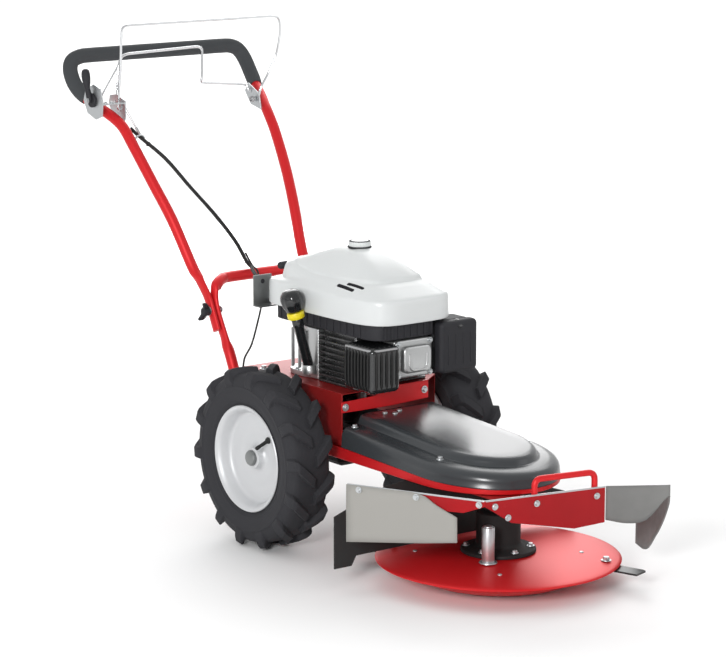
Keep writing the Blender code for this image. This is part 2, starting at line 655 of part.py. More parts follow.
def pulley(name, middle, lows, core, edge, bore, width=0.016, rim_width=0.0035, finish="cast_iron"):
    """A flat-floored V pulley with one groove for each level in lows."""
    outer = []
    cores = core if isinstance(core, list) else [core]
    edges = edge if isinstance(edge, list) else [edge]
    for low, floor, lip in sorted(zip(lows, cores, edges), reverse=True):
        outer += [(lip, low + width + rim_width), (lip, low + width + 0.0005), (floor, low + width), (floor, low),
                  (lip, low - 0.0005), (lip, low - rim_width)]
    profile = [(bore, outer[0][1]), *outer, (bore, outer[-1][1])]
    turned(name, profile, finish, middle, 24)


def belt(name, settings, near_forward, far_forward):
    """A flat band round two circles."""
    gap = far_forward - near_forward
    way = 1 if gap > 0 else -1
    def loop(extra):
        near, far = settings["near"] + extra, settings["far"] + extra
        lean = 90 + (180 / pi) * ((far - near) / abs(gap))
        first = arc((0, 0), far, -lean, lean, 12)
        second = arc((0, 0), near, lean, 360 - lean, 10)
        return [(far_forward + way * a, b) for a, b in first] + [(near_forward + way * a, b) for a, b in second]
    band = plate(name, loop(settings["thick"]), settings["high"] - settings["low"], "black_rubber", "top",
                 settings["low"])
    inside = plate(name + "_cut", loop(0), 0.05, None, "top", settings["low"] - 0.02, where=cutters)
    cut(band, hidden(inside))


def drive_line():
    crank = spot(CRANK_FORWARD, 0, 0)
    profile = [(0, 0.600), (0.008, 0.600), (0.008, 0.512), (CRANK_RADIUS, 0.510), (CRANK_RADIUS, 0.2378), (0, 0.2378)]
    turned("crankshaft", profile, "steel", crank, 16)
    pulley("engine_pulley", crank, [CUTTER_BELT["low"] - 0.001, DRIVE_BELT["low"] - 0.001], [0.0360, 0.0240],
           [0.0460, 0.0340], CRANK_RADIUS + 0.0004, 0.016)
    wheel = [(0.084, 0.500), (0.085, 0.480), (0.060, 0.478), (0.0129, 0.478), (0.0129, 0.500)]
    turned("flywheel", wheel, "cast_iron", crank, 28)
    shaft = [(0, 0.3050), (0.060, 0.3050), (0.060, 0.3015), (0.050, 0.3005), (0.050, 0.2865), (0.060, 0.2855),
             (0.060, 0.2820), (0.018, 0.2820), (0.018, 0.2700), (0.008, 0.2700), (0.008, 0.2060), (0, 0.2060)]
    turned("gearbox_pulley", shaft, "cast_iron", spot(GEARBOX_FORWARD, 0, 0), 24)
    belt("cutter_belt", CUTTER_BELT, CRANK_FORWARD, SPINDLE_FORWARD)
    belt("drive_belt", DRIVE_BELT, CRANK_FORWARD, GEARBOX_FORWARD)
    idler()


def idler():
    """The cutter clutch: an arm on a post, whose roller presses the belt's right run when the bail is held."""
    pivot, roller = (0.235, -0.115), (0.285, -0.0885)
    ahead = atan2(roller[1] - pivot[1], roller[0] - pivot[0])
    turn = 180 / pi * ahead
    outline = arc(pivot, 0.010, turn + 90, turn + 270, 6) + arc(roller, 0.008, turn - 90, turn + 90, 6)
    bar = plate("idler_arm", outline, 0.003, None, "top", 0.2585)
    post = pin("idler_post", spot(*pivot, 0.2150), spot(*pivot, 0.2600), 0.006)
    peg = pin("idler_peg", spot(*roller, 0.2420), spot(*roller, 0.2600), 0.004)
    arm = joined("idler_arm", "steel", bar, post, peg)
    set_origin(arm, spot(*pivot, 0.260))
    wheel = [(0.0200, 0.2555), (0.0200, 0.2430), (0.0045, 0.2430), (0.0045, 0.2555)]
    turned("idler_pulley", wheel, "steel", spot(*roller, 0), 20)


# ---------------------------------------------------------------- engine

def rounded(rear, front, half, corner, up, steps=4):
    """World points of a rounded rectangle at one level."""
    points = []
    for f, l, start in ((front - corner, half - corner, 0), (rear + corner, half - corner, 90),
                        (rear + corner, corner - half, 180), (front - corner, corner - half, 270)):
        points += [spot(a, b, up) for a, b in arc((f, l), corner, start, start + 90, steps)]
    return points


def engine():
    case = [(0.0195, -0.100), *[(-0.010 - 0.094 * sin(pi * i / 12), -0.100 * cos(pi * i / 12)) for i in range(13)],
            (0.0195, 0.100)]
    soften(plate("crankcase", case, 0.1140, "aluminium", "top", DECK_TOP + GAP), 0.006, 1)
    fins, low, high = 7, 0.3560, 0.4700
    pitch = (high - low) / fins
    levels = []
    for k in range(fins):
        foot = low + k * pitch
        levels += [(0.016, foot), (0.016, foot + pitch * 0.45), (0, foot + pitch * 0.45), (0, foot + pitch)]
    rings = [rounded(0.0230 - out / 6, 0.1330 + out, 0.088 + out, 0.006, up, 2) for out, up in levels]
    body = lofted("cylinder_block", rings, "black_plastic")
    cut(body, cutter("crank_bore", spot(CRANK_FORWARD, 0, 0.34), spot(CRANK_FORWARD, 0, 0.48), CRANK_RADIUS + 0.0004))
    block("valve_cover", (0.1500, -0.052, 0.3850), (0.2500, 0.050, 0.4700), "aluminium", 0.008)
    box = block("muffler", (0.1500, -0.136, 0.3640), (0.2580, -0.0525, 0.4650), "black_plastic", 0.012)
    soften(box, 0.003)
    block("air_cleaner", (0.1650, 0.0560, 0.3850), (0.2560, 0.1620, 0.5000), "black_plastic", 0.010)
    ring = [rounded(-0.150, 0.236, 0.106, 0.040, up) for up in (0.4735, 0.5075)]
    housing = lofted("blower_housing", ring, "black_plastic")
    cut(housing, cutter("flywheel_cut", spot(CRANK_FORWARD, 0, 0.46), spot(CRANK_FORWARD, 0, 0.52), 0.0875, 28))
    cut(housing, hidden(block("filter_cut", (0.160, 0.050, 0.46), (0.27, 0.17, 0.5035), None, where=cutters)))
    top_cover()
    foot, ball = spot(0.0035, -0.1145, 0.3880), spot(-0.0048, -0.1522, 0.5374)
    lean = (ball - foot).normalized()
    neck = foot + lean * DIPSTICK_NECK
    rod("dipstick_tube", [foot, neck], 0.0115, "black_plastic", 10)
    knob = [(0, 0.0670), (0.012, 0.0645), (0.022, 0.0560), (0.0265, 0.0430), (0.0245, 0.0300), (0.0185, 0.0225),
            (0.0185, 0.0040), (0.015, 0.0005), (0, 0.0005)]
    cap = turned("dipstick_cap", knob, "black_plastic", neck, 16)
    cap.rotation_euler = lean.to_track_quat("Z", "Y").to_euler()
    bracket = [(-0.1503, 0.4950), (-0.1503, 0.4980), (-0.1735, 0.4980), (-0.1735, 0.5650), (-0.1765, 0.5650),
               (-0.1765, 0.4950)]
    plate("cable_bracket", bracket, 0.050, "grey_steel", "side", -0.135)


def cowl_ring(inset, share, share_rear, low=None):
    """World points round the cowl. The ring draws in by a share and climbs, otherwise at the rear than in front."""
    points = []
    for k in range(32):
        turn = 2 * pi * (k + 0.5) / 32
        reach, power = COWL_FRONT if cos(turn) > 0 else COWL_REAR
        forward = COWL_MIDDLE + copysign(reach * abs(cos(turn)) ** (2 / power), cos(turn)) * (1 - inset)
        left = copysign(COWL_HALF * abs(sin(turn)) ** (2 / power), sin(turn)) * (1 - inset)
        back = min(1.0, max(0.0, -forward / 0.15))
        back = back * back * (3 - 2 * back)
        up = 0.560 + (COWL_TOP - 0.560) * (share * (1 - back) + share_rear * back)
        points.append(spot(forward, left, low or up))
    return points


def top_cover():
    """Silver cowl: a dome round the filler, a low shelf for the starter's grip, and holes for neck and rope."""
    levels = [(0, 0, 0, COVER_LOW), (0, -0.08, -0.08), (0.012, 0, 0), (0.05, 0.05, 0.04), (0.15, 0.16, 0.08),
              (0.20, 0.22, 0.48), (0.30, 0.33, 0.62), (0.34, 0.43, 0.66), (0.50, 0.66, 0.80), (0.68, 0.86, 0.92),
              (0.84, 1, 1)]
    cover = lofted("top_cover", [cowl_ring(*level) for level in levels], "silver_plastic", 0.003)
    cut(cover, cutter("neck_cut", spot(0.040, 0, 0.59), spot(0.040, 0, 0.67), 0.0185),
        cutter("rope_cut", spot(-0.100, ROPE_OUT[1], ROPE_OUT[2] - 0.0259),
               spot(-0.190, ROPE_OUT[1], ROPE_OUT[2] + 0.0056), 0.0060))
    cap = [(0, 0.6600), (0.0225, 0.6600), (0.0250, 0.6580), (0.0250, 0.6465), (0.0170, 0.6465), (0.0170, 0.6200),
           (0, 0.6200)]
    turned("fuel_cap", cap, "silver_plastic", spot(0.040, 0, 0), 24)
    pull = Vector((0, cos(ROPE_RISE), sin(ROPE_RISE)))
    grip_middle = spot(*ROPE_OUT) + pull * 0.006
    bar = pin("recoil_grip", grip_middle - Vector((0.028, 0, 0)), grip_middle + Vector((0.028, 0, 0)), 0.009)
    rope = pin("recoil_rope", grip_middle - pull * ROPE_LENGTH, grip_middle, 0.0025, sides=8)
    joined("recoil_grip", "black_plastic", bar, rope)


# ---------------------------------------------------------------- handle and controls

def handle():
    holes = []
    for side, word in ((-1, "right"), (1, "left")):
        holes.append(cutter("clamp_cut_" + word, spot(CLAMP[0], side * 0.10, CLAMP[1]),
                            spot(CLAMP[0], side * 0.18, CLAMP[1]), 0.0046, 12))
    lower = as_mesh(rod("lower_handle", catmull(both_sides(LOWER_SIDE), 2), TUBE, "red_paint"))
    crush(lower, LOWER_HALF, 0.404, 0.518)
    cut(lower, *holes)
    upper_line = catmull(both_sides(UPPER_SIDE), 2)
    upper = as_mesh(rod("upper_handle", upper_line, TUBE, "red_paint"))
    crush(upper, UPPER_HALF, 0.0, 0.528)
    cut(upper, *holes)
    set_origin(upper, spot(CLAMP[0], 0, CLAMP[1]))
    sleeve(upper_line)
    for side, word in ((-1, "right"), (1, "left")):
        clamp_knob("clamp_knob_" + word, side)


def both_sides(points):
    return [spot(*p) for p in mirrored(points)] + [spot(*p) for p in reversed(points)]


def crush(tube, half, low, high):
    """Press the tube flat between two heights, easing out above and below."""
    ease = 0.018
    for vert in tube.data.vertices:
        past = max(low - vert.co.z, vert.co.z - high, 0.0)
        share = max(0.0, 1.0 - past / ease)
        side = 1 if vert.co.x > 0 else -1
        offset = vert.co.x - side * half
        if abs(offset) < 0.016:
            vert.co.x = side * half + offset * (1 - share * (1 - CRUSHED))


def sleeve(line):
    """Foam over the crossbar and both of its bends: an outer and an inner skin, scaled from the tube's own rings."""
    tube = as_mesh(rod("tube_skin", line, TUBE, None, caps=False))
    points = [vert.co.copy() for vert in tube.data.vertices]
    bpy.data.objects.remove(tube, do_unlink=True)
    shape = bmesh.new()
    skins = []
    for radius in (GRIP_RADIUS, TUBE + 2 * GAP):
        skins.append([[shape.verts.new(line[i].lerp(points[8 * i + k], radius / TUBE)) for k in range(8)]
                      for i in range(2 * GRIP_FROM, len(line) - 2 * GRIP_FROM)])
    outer, inner = skins
    for skin in skins:
        for one, other in zip(skin, skin[1:]):
            for k in range(8):
                shape.faces.new((one[k], one[k - 1], other[k - 1], other[k]))
    for end in (0, -1):
        for k in range(8):
            shape.faces.new((outer[end][k], outer[end][k - 1], inner[end][k - 1], inner[end][k]))
    bmesh.ops.recalc_face_normals(shape, faces=shape.faces)
    mesh = bpy.data.meshes.new("grip")
    shape.to_mesh(mesh)
    shape.free()
    smooth(add_object("grip", mesh, "foam"))


def clamp_knob(name, side):
    """A bolt through both tubes with a two-winged knob on its outer end."""
    def at(left):
        return spot(CLAMP[0], side * left, CLAMP[1])
    bolt = pin(name, at(0.1280), at(0.1760), 0.0040, sides=12)
    head = pin(name + "_head", at(0.1265), at(0.1320), 0.0075, sides=6)
    boss = pin(name + "_boss", at(0.1625), at(0.1780), 0.0100, sides=12)
    wing = bpy.data.meshes.new(name + "_wing")
    shape = bmesh.new()
    bmesh.ops.create_cube(shape, size=1.0)
    bmesh.ops.scale(shape, vec=Vector((0.010, 0.010, 0.046)), verts=shape.verts)
    for vert in shape.verts:
        if abs(vert.co.z) > 0.01 and vert.co.x * side > 0:
            vert.co.x += side * 0.006
    bmesh.ops.rotate(shape, verts=shape.verts, matrix=Matrix.Rotation(radians(25), 3, "X"))
    bmesh.ops.translate(shape, verts=shape.verts, vec=at(0.1745))
    shape.to_mesh(wing)
    shape.free()
    knob = joined(name, "black_plastic", bolt, head, boss, add_object(name + "_wing", wing, None))
    set_origin(knob, at(0.1745))


def controls():
    """Brackets inside the tubes, with the two spring-wire bails hooked through them."""
    face = [(-0.598, 0.882), (-0.606, 0.866), (-0.650, 0.886), (-0.668, 0.910), (-0.662, 0.930), (-0.636, 0.934),
            (-0.598, 0.922)]
    inner = plate("control_bracket", face, 0.003, None, "side", -0.1945)
    face = [(-0.590, 0.925), (-0.594, 0.890), (-0.620, 0.881), (-0.655, 0.893), (-0.672, 0.922), (-0.662, 0.948),
            (-0.628, 0.962), (-0.600, 0.954)]
    outer = plate("outer_plate", face, 0.003, None, "side", -0.2605)
    strap = block("strap", (-0.6110, -0.2600, 0.9150), (-0.5985, -0.1920, 0.9180), None)
    right = joined("control_bracket", "zinc", inner, strap, outer)
    face = [(-0.598, 0.874), (-0.640, 0.884), (-0.664, 0.914), (-0.650, 0.934), (-0.606, 0.912)]
    left = plate("bail_bracket", face, 0.003, "zinc", "side", 0.1915)
    for bracket, side, word in ((right, -1, "right"), (left, 1, "left")):
        for (f, up), bail in ((CUTTER_BAIL_PIVOT, "cutter"), (DRIVE_BAIL_PIVOT, "drive")):
            cut(bracket, cutter(f"{bail}_pivot_cut_{word}", spot(f, side * 0.180, up), spot(f, side * 0.210, up),
                                WIRE + GAP, 12))

    forward, up = CUTTER_BAIL_PIVOT
    right_leg = [(forward, -0.1875, up), (forward, -0.2002, up), (-0.6150, -0.2002, 0.9300), (-0.6040, -0.2010, 0.9900),
                 (-0.5940, -0.2050, 1.0500), (-0.5880, -0.2070, 1.0830), (-0.5870, -0.2050, 1.0920),
                 (-0.5865, -0.1980, BAIL_TOP), (-0.5865, -0.1850, BAIL_TOP)]
    left_leg = [(forward, 0.1875, up), (forward, 0.2002, up), (-0.6170, 0.2030, 0.9200), (-0.6100, 0.2250, 0.9600),
                (-0.6010, 0.2420, 1.0050), (-0.5940, 0.2470, 1.0500), (-0.5880, 0.2420, 1.0830),
                (-0.5870, 0.2370, 1.0920), (-0.5865, 0.2290, BAIL_TOP), (-0.5865, 0.2150, BAIL_TOP)]
    whole = [spot(*p) for p in right_leg] + [spot(*p) for p in reversed(left_leg)]
    bail = as_mesh(rod("cutter_bail", whole, WIRE, "chrome_wire"))
    set_origin(bail, spot(forward, 0, up))

    forward, up = DRIVE_BAIL_PIVOT
    steps = [(forward, -0.1955, up), (forward, -0.1870, up), (-0.6430, -0.1860, 0.9650), (-0.6450, -0.1790, 1.0050),
             (-0.6460, -0.1700, 1.0200), (-0.6460, -0.1550, 1.0245), (-0.6460, 0.0420, 1.0300),
             (-0.6460, 0.0530, 1.0270), (-0.6460, 0.0560, 1.0160), (-0.6460, 0.0550, 0.9550),
             (-0.6500, 0.0530, 0.9450), (-0.6500, 0.0640, 0.9420), (-0.6490, 0.1720, 0.9320),
             (-0.6470, 0.1840, 0.9290), (forward, 0.1870, up), (forward, 0.1955, up)]
    bail = as_mesh(rod("drive_bail", [spot(*p) for p in steps], WIRE, "chrome_wire"))
    set_origin(bail, spot(forward, 0, up))

    bar = [(-0.6360, 0.9220), (-0.6290, 0.9190), (-0.6230, 0.9250), (-0.6370, 0.9790), (-0.6450, 0.9800)]
    arm = plate("throttle_lever", bar, 0.0080, None, "side", -0.2690)
    ball = bpy.data.meshes.new("throttle_ball")
    shape = bmesh.new()
    bmesh.ops.create_uvsphere(shape, u_segments=12, v_segments=8, radius=0.0115)
    bmesh.ops.translate(shape, verts=shape.verts, vec=spot(-0.6420, -0.2650, 0.9850))
    shape.to_mesh(ball)
    shape.free()
    lever = joined("throttle_lever", "black_plastic", arm, add_object("throttle_ball", ball, None))
    set_origin(lever, spot(LEVER_PIVOT[0], -0.2650, LEVER_PIVOT[1]))


def cables():
    """Both are held at each end: the loom from the right bracket over the crossbar to the engine, and a thin
    cable from the crossbar down to the gearbox."""
    loom = [(-0.590, -0.184, 0.858), (-0.558, -0.176, 0.838), (-0.486, -0.158, 0.796), (-0.4438, -0.120, 0.732),
            (-0.405, -0.078, 0.668), (-0.3727, -0.045, 0.609), (-0.3560, -0.024, 0.561), (-0.3380, -0.024, 0.551),
            (-0.300, -0.048, 0.5510), (-0.235, -0.085, 0.552), (-0.1785, -0.110, 0.550)]
    rod("cable_loom", catmull([spot(*p) for p in loom], 4), 0.0045, "black_rubber")
    thin = [(-0.378, -0.012, 0.576), (-0.354, -0.010, 0.550), (-0.328, -0.014, 0.541), (-0.285, -0.036, 0.516),
            (-0.247, -0.060, 0.487), (-0.2318, -0.085, 0.438), (-0.2246, -0.106, 0.3956), (-0.238, -0.117, 0.360),
            (-0.240, -0.116, 0.315), (-0.225, -0.100, 0.262), (-0.200, -0.075, 0.222), (-0.1325, -0.045, 0.200)]
    rod("drive_cable", catmull([spot(*p) for p in thin], 4), 0.0022, "black_rubber")


def main():
    global parts, cutters
    empty_the_scene()
    parts, cutters = collection("brush_mower"), collection("cutters")
    cutters.hide_render = True
    chassis()
    belt_tray()
    belt_cover()
    spindle_housing()
    gearbox()
    guard()
    wheels()
    rotor()
    drive_line()
    engine()
    handle()
    controls()
    cables()


main()
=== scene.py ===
"""Looks of the walk-behind brush mower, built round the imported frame.

Metres, +Z up. Places are given as (forward of the axle, left of the middle, up) and turned into world points by
at(), with the axle's own place read from the frame. The machine's front points along -Y and its left along +X.
"""

from math import copysign, cos, hypot, pi, radians, sin

import bmesh
import bpy
from mathutils import Matrix, Vector


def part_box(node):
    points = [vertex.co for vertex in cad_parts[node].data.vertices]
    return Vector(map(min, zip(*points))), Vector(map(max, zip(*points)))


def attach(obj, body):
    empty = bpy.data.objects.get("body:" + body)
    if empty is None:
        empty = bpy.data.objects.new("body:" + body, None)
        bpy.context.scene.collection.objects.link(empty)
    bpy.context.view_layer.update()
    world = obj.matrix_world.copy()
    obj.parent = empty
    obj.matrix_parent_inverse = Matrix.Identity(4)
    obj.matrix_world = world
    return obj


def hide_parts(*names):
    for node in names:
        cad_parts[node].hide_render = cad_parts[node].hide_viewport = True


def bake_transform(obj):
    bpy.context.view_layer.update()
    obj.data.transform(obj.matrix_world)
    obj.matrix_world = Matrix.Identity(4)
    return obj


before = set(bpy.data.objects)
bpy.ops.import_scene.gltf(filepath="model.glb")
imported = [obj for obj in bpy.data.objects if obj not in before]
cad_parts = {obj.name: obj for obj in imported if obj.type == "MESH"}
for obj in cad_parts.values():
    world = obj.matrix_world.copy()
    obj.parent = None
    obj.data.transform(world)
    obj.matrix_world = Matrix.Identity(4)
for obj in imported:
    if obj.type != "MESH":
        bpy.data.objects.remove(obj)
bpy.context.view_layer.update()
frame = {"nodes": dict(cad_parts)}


def middle(node):
    low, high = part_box(node)
    return (low + high) / 2


AXLE = middle("axle")
SPINDLE = middle("spindle_shaft")
SPINDLE_FORWARD = AXLE.y - SPINDLE.y
UP, LEFT, AHEAD = Vector((0, 0, 1)), Vector((1, 0, 0)), Vector((0, -1, 0))


def at(forward, left, up):
    """World point for a place on the machine."""
    return Vector((left, AXLE.y - forward, up))


# ---------------------------------------------------------------- camera

CAMERA_FORWARD, CAMERA_RIGHT, CAMERA_UP = 4.8989, 3.739, 1.6739
CAMERA_TILT, CAMERA_TURN = 78.8169, -37.6453
CAMERA_LENS = 140.24


def camera():
    data = bpy.data.cameras.new("camera")
    data.lens, data.sensor_width, data.sensor_fit = CAMERA_LENS, 36, "HORIZONTAL"
    data.clip_end = 50
    obj = bpy.data.objects.new("camera", data)
    bpy.context.scene.collection.objects.link(obj)
    obj.location = at(CAMERA_FORWARD, -CAMERA_RIGHT, CAMERA_UP)
    obj.rotation_euler = (radians(CAMERA_TILT), 0, radians(CAMERA_TURN))
    bpy.context.scene.camera = obj


# ---------------------------------------------------------------- materials

# name: colour, roughness, then what differs from a plain plastic
LOOKS = {
    "red_paint": dict(colour=(0.44, 0.001, 0.003), rough=0.22, coat=0.1, spec=0.04, vary=0.1,
                      grain=(420, 0.05), wear_and_highlight=0.25),
    "dark_red_paint": dict(colour=(0.19, 0.001, 0.004), rough=0.34, coat=0.06, spec=0.08, vary=0.16,
                           grain=(420, 0.08), wear_and_highlight=0.2),
    "silver_plastic": dict(colour=(0.35, 0.375, 0.37), rough=0.24, metallic=0.5, coat=0.5, vary=0.04,
                           grain=(1500, 0.05)),
    "black_plastic": dict(colour=(0.009, 0.01, 0.01), rough=0.36, spec=0.4, vary=0.25, grain=(1300, 0.25)),
    "gloss_black": dict(colour=(0.01, 0.011, 0.012), rough=0.18, coat=0.4, vary=0.2, grain=(500, 0.05)),
    "cover_plastic": dict(colour=(0.014, 0.015, 0.016), rough=0.15, coat=0.6, vary=0.12, grain=(380, 0.06)),
    # The tyre's lighter sharp edges are a painted highlight along the lugs; its dust is real.
    "tyre_rubber": dict(colour=(0.01, 0.011, 0.011), rough=0.38, vary=0.5, patch=18, grain=(700, 0.3),
                        dust=0.1, wear_and_highlight=0.55),
    "foam": dict(colour=(0.022, 0.023, 0.023), rough=0.85, vary=0.25, patch=25, grain=(1500, 0.8), sheen=0.1),
    "grey_rubber": dict(colour=(0.34, 0.34, 0.32), rough=0.6, vary=0.09, patch=9, grain=(900, 0.15),
                        dust=0.25),
    # The left flap's grey rubber, painted darker as shade on its inner face.
    "shaded_grey_rubber": dict(colour=(0.17, 0.17, 0.165), rough=0.55, vary=0.15, patch=9, grain=(900, 0.15),
                        dust=0.15),
    # The guard plate's red paint, painted darker than the other red as shade.
    "shaded_guard_red": dict(colour=(0.3, 0.001, 0.004), rough=0.22, coat=0.08, spec=0.06, vary=0.12,
                        grain=(420, 0.06), wear_and_highlight=0.3),
    "black_rubber": dict(colour=(0.016, 0.016, 0.017), rough=0.58, vary=0.3, grain=(900, 0.2)),
    "zinc": dict(colour=(0.56, 0.58, 0.59), rough=0.33, metallic=0.9, vary=0.1, patch=60, grain=(900, 0.08)),
    "chrome_wire": dict(colour=(0.72, 0.73, 0.74), rough=0.14, metallic=1.0, vary=0.04, grain=(900, 0.03)),
    "aluminium": dict(colour=(0.56, 0.57, 0.57), rough=0.42, metallic=0.85, vary=0.1, patch=30,
                      grain=(520, 0.35)),
    # The rim's lighter sharp edges are a painted highlight on its rolled lips.
    "wheel_silver": dict(colour=(0.24, 0.25, 0.26), rough=0.34, metallic=0.75, coat=0.15, vary=0.14, patch=14,
                         grain=(420, 0.06),
                         wear_and_highlight=0.6),
    "steel": dict(colour=(0.46, 0.46, 0.47), rough=0.32, metallic=1.0, vary=0.12, patch=40, grain=(700, 0.1)),
    "blade_steel": dict(colour=(0.045, 0.045, 0.047), rough=0.42, metallic=0.8, vary=0.25, patch=40,
                        grain=(600, 0.2)),
    "fin_metal": dict(colour=(0.09, 0.09, 0.092), rough=0.3, metallic=0.75, vary=0.2, patch=30,
                      grain=(600, 0.15)),
    "cast_iron": dict(colour=(0.035, 0.035, 0.037), rough=0.55, metallic=0.3, vary=0.25, patch=30,
                      grain=(380, 0.6)),
    "grey_steel": dict(colour=(0.24, 0.25, 0.25), rough=0.42, metallic=0.6, vary=0.12, patch=30,
                       grain=(600, 0.1)),
    "yellow_plastic": dict(colour=(0.75, 0.62, 0.015), rough=0.35, vary=0.08, grain=(900, 0.1)),
}
DUST = (0.3, 0.28, 0.25)


def noise(tree, coords, scale, detail=4.0):
    node = tree.nodes.new("ShaderNodeTexNoise")
    node.inputs["Scale"].default_value = scale
    node.inputs["Detail"].default_value = detail
    tree.links.new(coords, node.inputs["Vector"])
    return node.outputs["Fac"]


def mapped(tree, value, low, high, to_low, to_high):
    node = tree.nodes.new("ShaderNodeMapRange")
    for name, number in (("From Min", low), ("From Max", high), ("To Min", to_low), ("To Max", to_high)):
        node.inputs[name].default_value = number
    tree.links.new(value, node.inputs["Value"])
    return node.outputs["Result"]


def mixed(tree, factor, one, other):
    """Blend a colour output, or a plain colour, into another by a factor output."""
    node = tree.nodes.new("ShaderNodeMix")
    node.data_type = "RGBA"
    tree.links.new(factor, node.inputs["Factor"])
    for colour, socket in ((one, node.inputs["A"]), (other, node.inputs["B"])):
        if isinstance(colour, tuple):
            socket.default_value = (*colour, 1)
        else:
            tree.links.new(colour, socket)
    return node.outputs["Result"]


def material(name):
    """A finish with mottled colour, uneven gloss and fine grain, dust where it has it, and lighter sharp edges:
    worn paint on the paints, a painted highlight on the tyres and rims.
    """
    if name in bpy.data.materials:
        return bpy.data.materials[name]
    look = LOOKS[name]
    made = bpy.data.materials.new(name)
    made.use_nodes = True
    tree = made.node_tree
    shader = tree.nodes["Principled BSDF"]
    shader.inputs["Metallic"].default_value = look.get("metallic", 0.0)
    shader.inputs["Coat Weight"].default_value = look.get("coat", 0.0)
    shader.inputs["Coat Roughness"].default_value = 0.08
    shader.inputs["Sheen Weight"].default_value = look.get("sheen", 0.0)
    shader.inputs["Specular IOR Level"].default_value = look.get("spec", 0.5)
    coords = tree.nodes.new("ShaderNodeTexCoord").outputs["Object"]

    patch, vary = look.get("patch", 7.0), look["vary"]
    dark = tuple(c * (1 - vary) for c in look["colour"])
    light = tuple(min(1.0, c * (1 + vary) + 0.01 * vary) for c in look["colour"])
    colour = mixed(tree, mapped(tree, noise(tree, coords, patch), 0.32, 0.68, 0, 1), dark, light)
    if look.get("dust"):
        settled = mapped(tree, noise(tree, coords, patch * 2.3, 8.0), 0.48, 0.8, 0, look["dust"])
        colour = mixed(tree, settled, colour, DUST)
    # Lighter colour on sharp edges: worn paint on the red paints, a painted highlight on the tyres' lugs and
    # the rims' lips.
    if look.get("wear_and_highlight"):
        edge = tree.nodes.new("ShaderNodeNewGeometry").outputs["Pointiness"]
        worn_and_lit_edge = mapped(tree, edge, 0.53, 0.62, 0, look["wear_and_highlight"])
        colour = mixed(tree, worn_and_lit_edge, colour, tuple(min(1.0, c * 1.5 + 0.1) for c in look["colour"]))
    tree.links.new(colour, shader.inputs["Base Color"])

    spread = min(0.07, look["rough"] * 0.3)
    gloss = mapped(tree, noise(tree, coords, patch * 4.1, 6.0), 0.3, 0.7, look["rough"] - spread,
                   look["rough"] + spread)
    tree.links.new(gloss, shader.inputs["Roughness"])

    scale, strength = look["grain"]
    bump = tree.nodes.new("ShaderNodeBump")
    bump.inputs["Strength"].default_value = strength
    bump.inputs["Distance"].default_value = 0.0006
    tree.links.new(noise(tree, coords, scale, 3.0), bump.inputs["Height"])
    tree.links.new(bump.outputs["Normal"], shader.inputs["Normal"])
    return made


def fit(obj, look, body, *nodes):
    """Give a piece its finish and its body, and hide the frame's nodes that it stands for."""
    obj.data.materials.clear()
    obj.data.materials.append(material(look))
    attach(obj, body)
    if nodes:
        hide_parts(*nodes)
    return obj


# ---------------------------------------------------------------- building blocks

def made(name, shape, angle=38):
    """An object from a bmesh, smooth apart from edges sharper than the angle."""
    bmesh.ops.recalc_face_normals(shape, faces=shape.faces)
    mesh = bpy.data.meshes.new(name)
    shape.to_mesh(mesh)
    shape.free()
    mesh.shade_smooth()
    mesh.set_sharp_from_angle(angle=radians(angle))
    obj = bpy.data.objects.new(name, mesh)
    bpy.context.scene.collection.objects.link(obj)
    return obj


def rounded_edges(obj, width, segments=2, angle=35):
    bevel = obj.modifiers.new("edges", "BEVEL")
    bevel.width, bevel.segments = width, segments
    bevel.limit_method, bevel.angle_limit = "ANGLE", radians(angle)
    bevel.harden_normals = True
    return obj


def bridge(shape, one, other):
    """Faces between two rings of vertices. A ring of one vertex is a point."""
    count = max(len(one), len(other))
    if count == 1:
        return
    for i in range(count):
        j = (i + 1) % count
        corners = [one[i % len(one)], one[j % len(one)], other[j % len(other)], other[i % len(other)]]
        shape.faces.new(list(dict.fromkeys(corners)))


def loft(shape, rings, cap_first=True, cap_last=True, closed=False):
    """Skin over rings of world points."""
    rows = [[shape.verts.new(point) for point in ring] for ring in rings]
    for one, other in zip(rows, rows[1:]):
        bridge(shape, one, other)
    if closed:
        bridge(shape, rows[-1], rows[0])
        return rows
    if cap_first and len(rows[0]) > 2:
        shape.faces.new(rows[0])
    if cap_last and len(rows[-1]) > 2:
        shape.faces.new(rows[-1])
    return rows


def turned(shape, profile, centre, axis=UP, segments=96, closed=False):
    """Add (radius, height) points turned about an axis through a world point."""
    turn = axis.to_track_quat("Z", "Y").to_matrix()
    rings = []
    for radius, height in profile:
        steps = segments if radius > 1e-6 else 1
        angles = [2 * pi * k / steps for k in range(steps)]
        rings.append([centre + turn @ Vector((radius * cos(a), radius * sin(a), height)) for a in angles])
    loft(shape, rings, closed=closed)


def lathe(name, *args, **options):
    """An object turned from a profile, as turned() takes it."""
    shape = bmesh.new()
    turned(shape, *args, **options)
    return made(name, shape)


def sweep_rings(points, radius, sides):
    """Rings of world points along a path. radius is one number, or one for each point."""
    radii = radius if isinstance(radius, list) else [radius] * len(points)
    rings, normal = [], None
    for i, point in enumerate(points):
        ahead = (points[min(i + 1, len(points) - 1)] - points[max(i - 1, 0)]).normalized()
        if normal is None:
            normal = ahead.orthogonal().normalized()
        normal = (normal - ahead * normal.dot(ahead)).normalized()
        side = ahead.cross(normal)
        rings.append([point + (normal * cos(2 * pi * k / sides) + side * sin(2 * pi * k / sides)) * radii[i]
                      for k in range(sides)])
    return rings


def sweep(name, points, radius, sides=16):
    """A round bar along world points."""
    shape = bmesh.new()
    loft(shape, sweep_rings(points, radius, sides))
    return made(name, shape, 60)


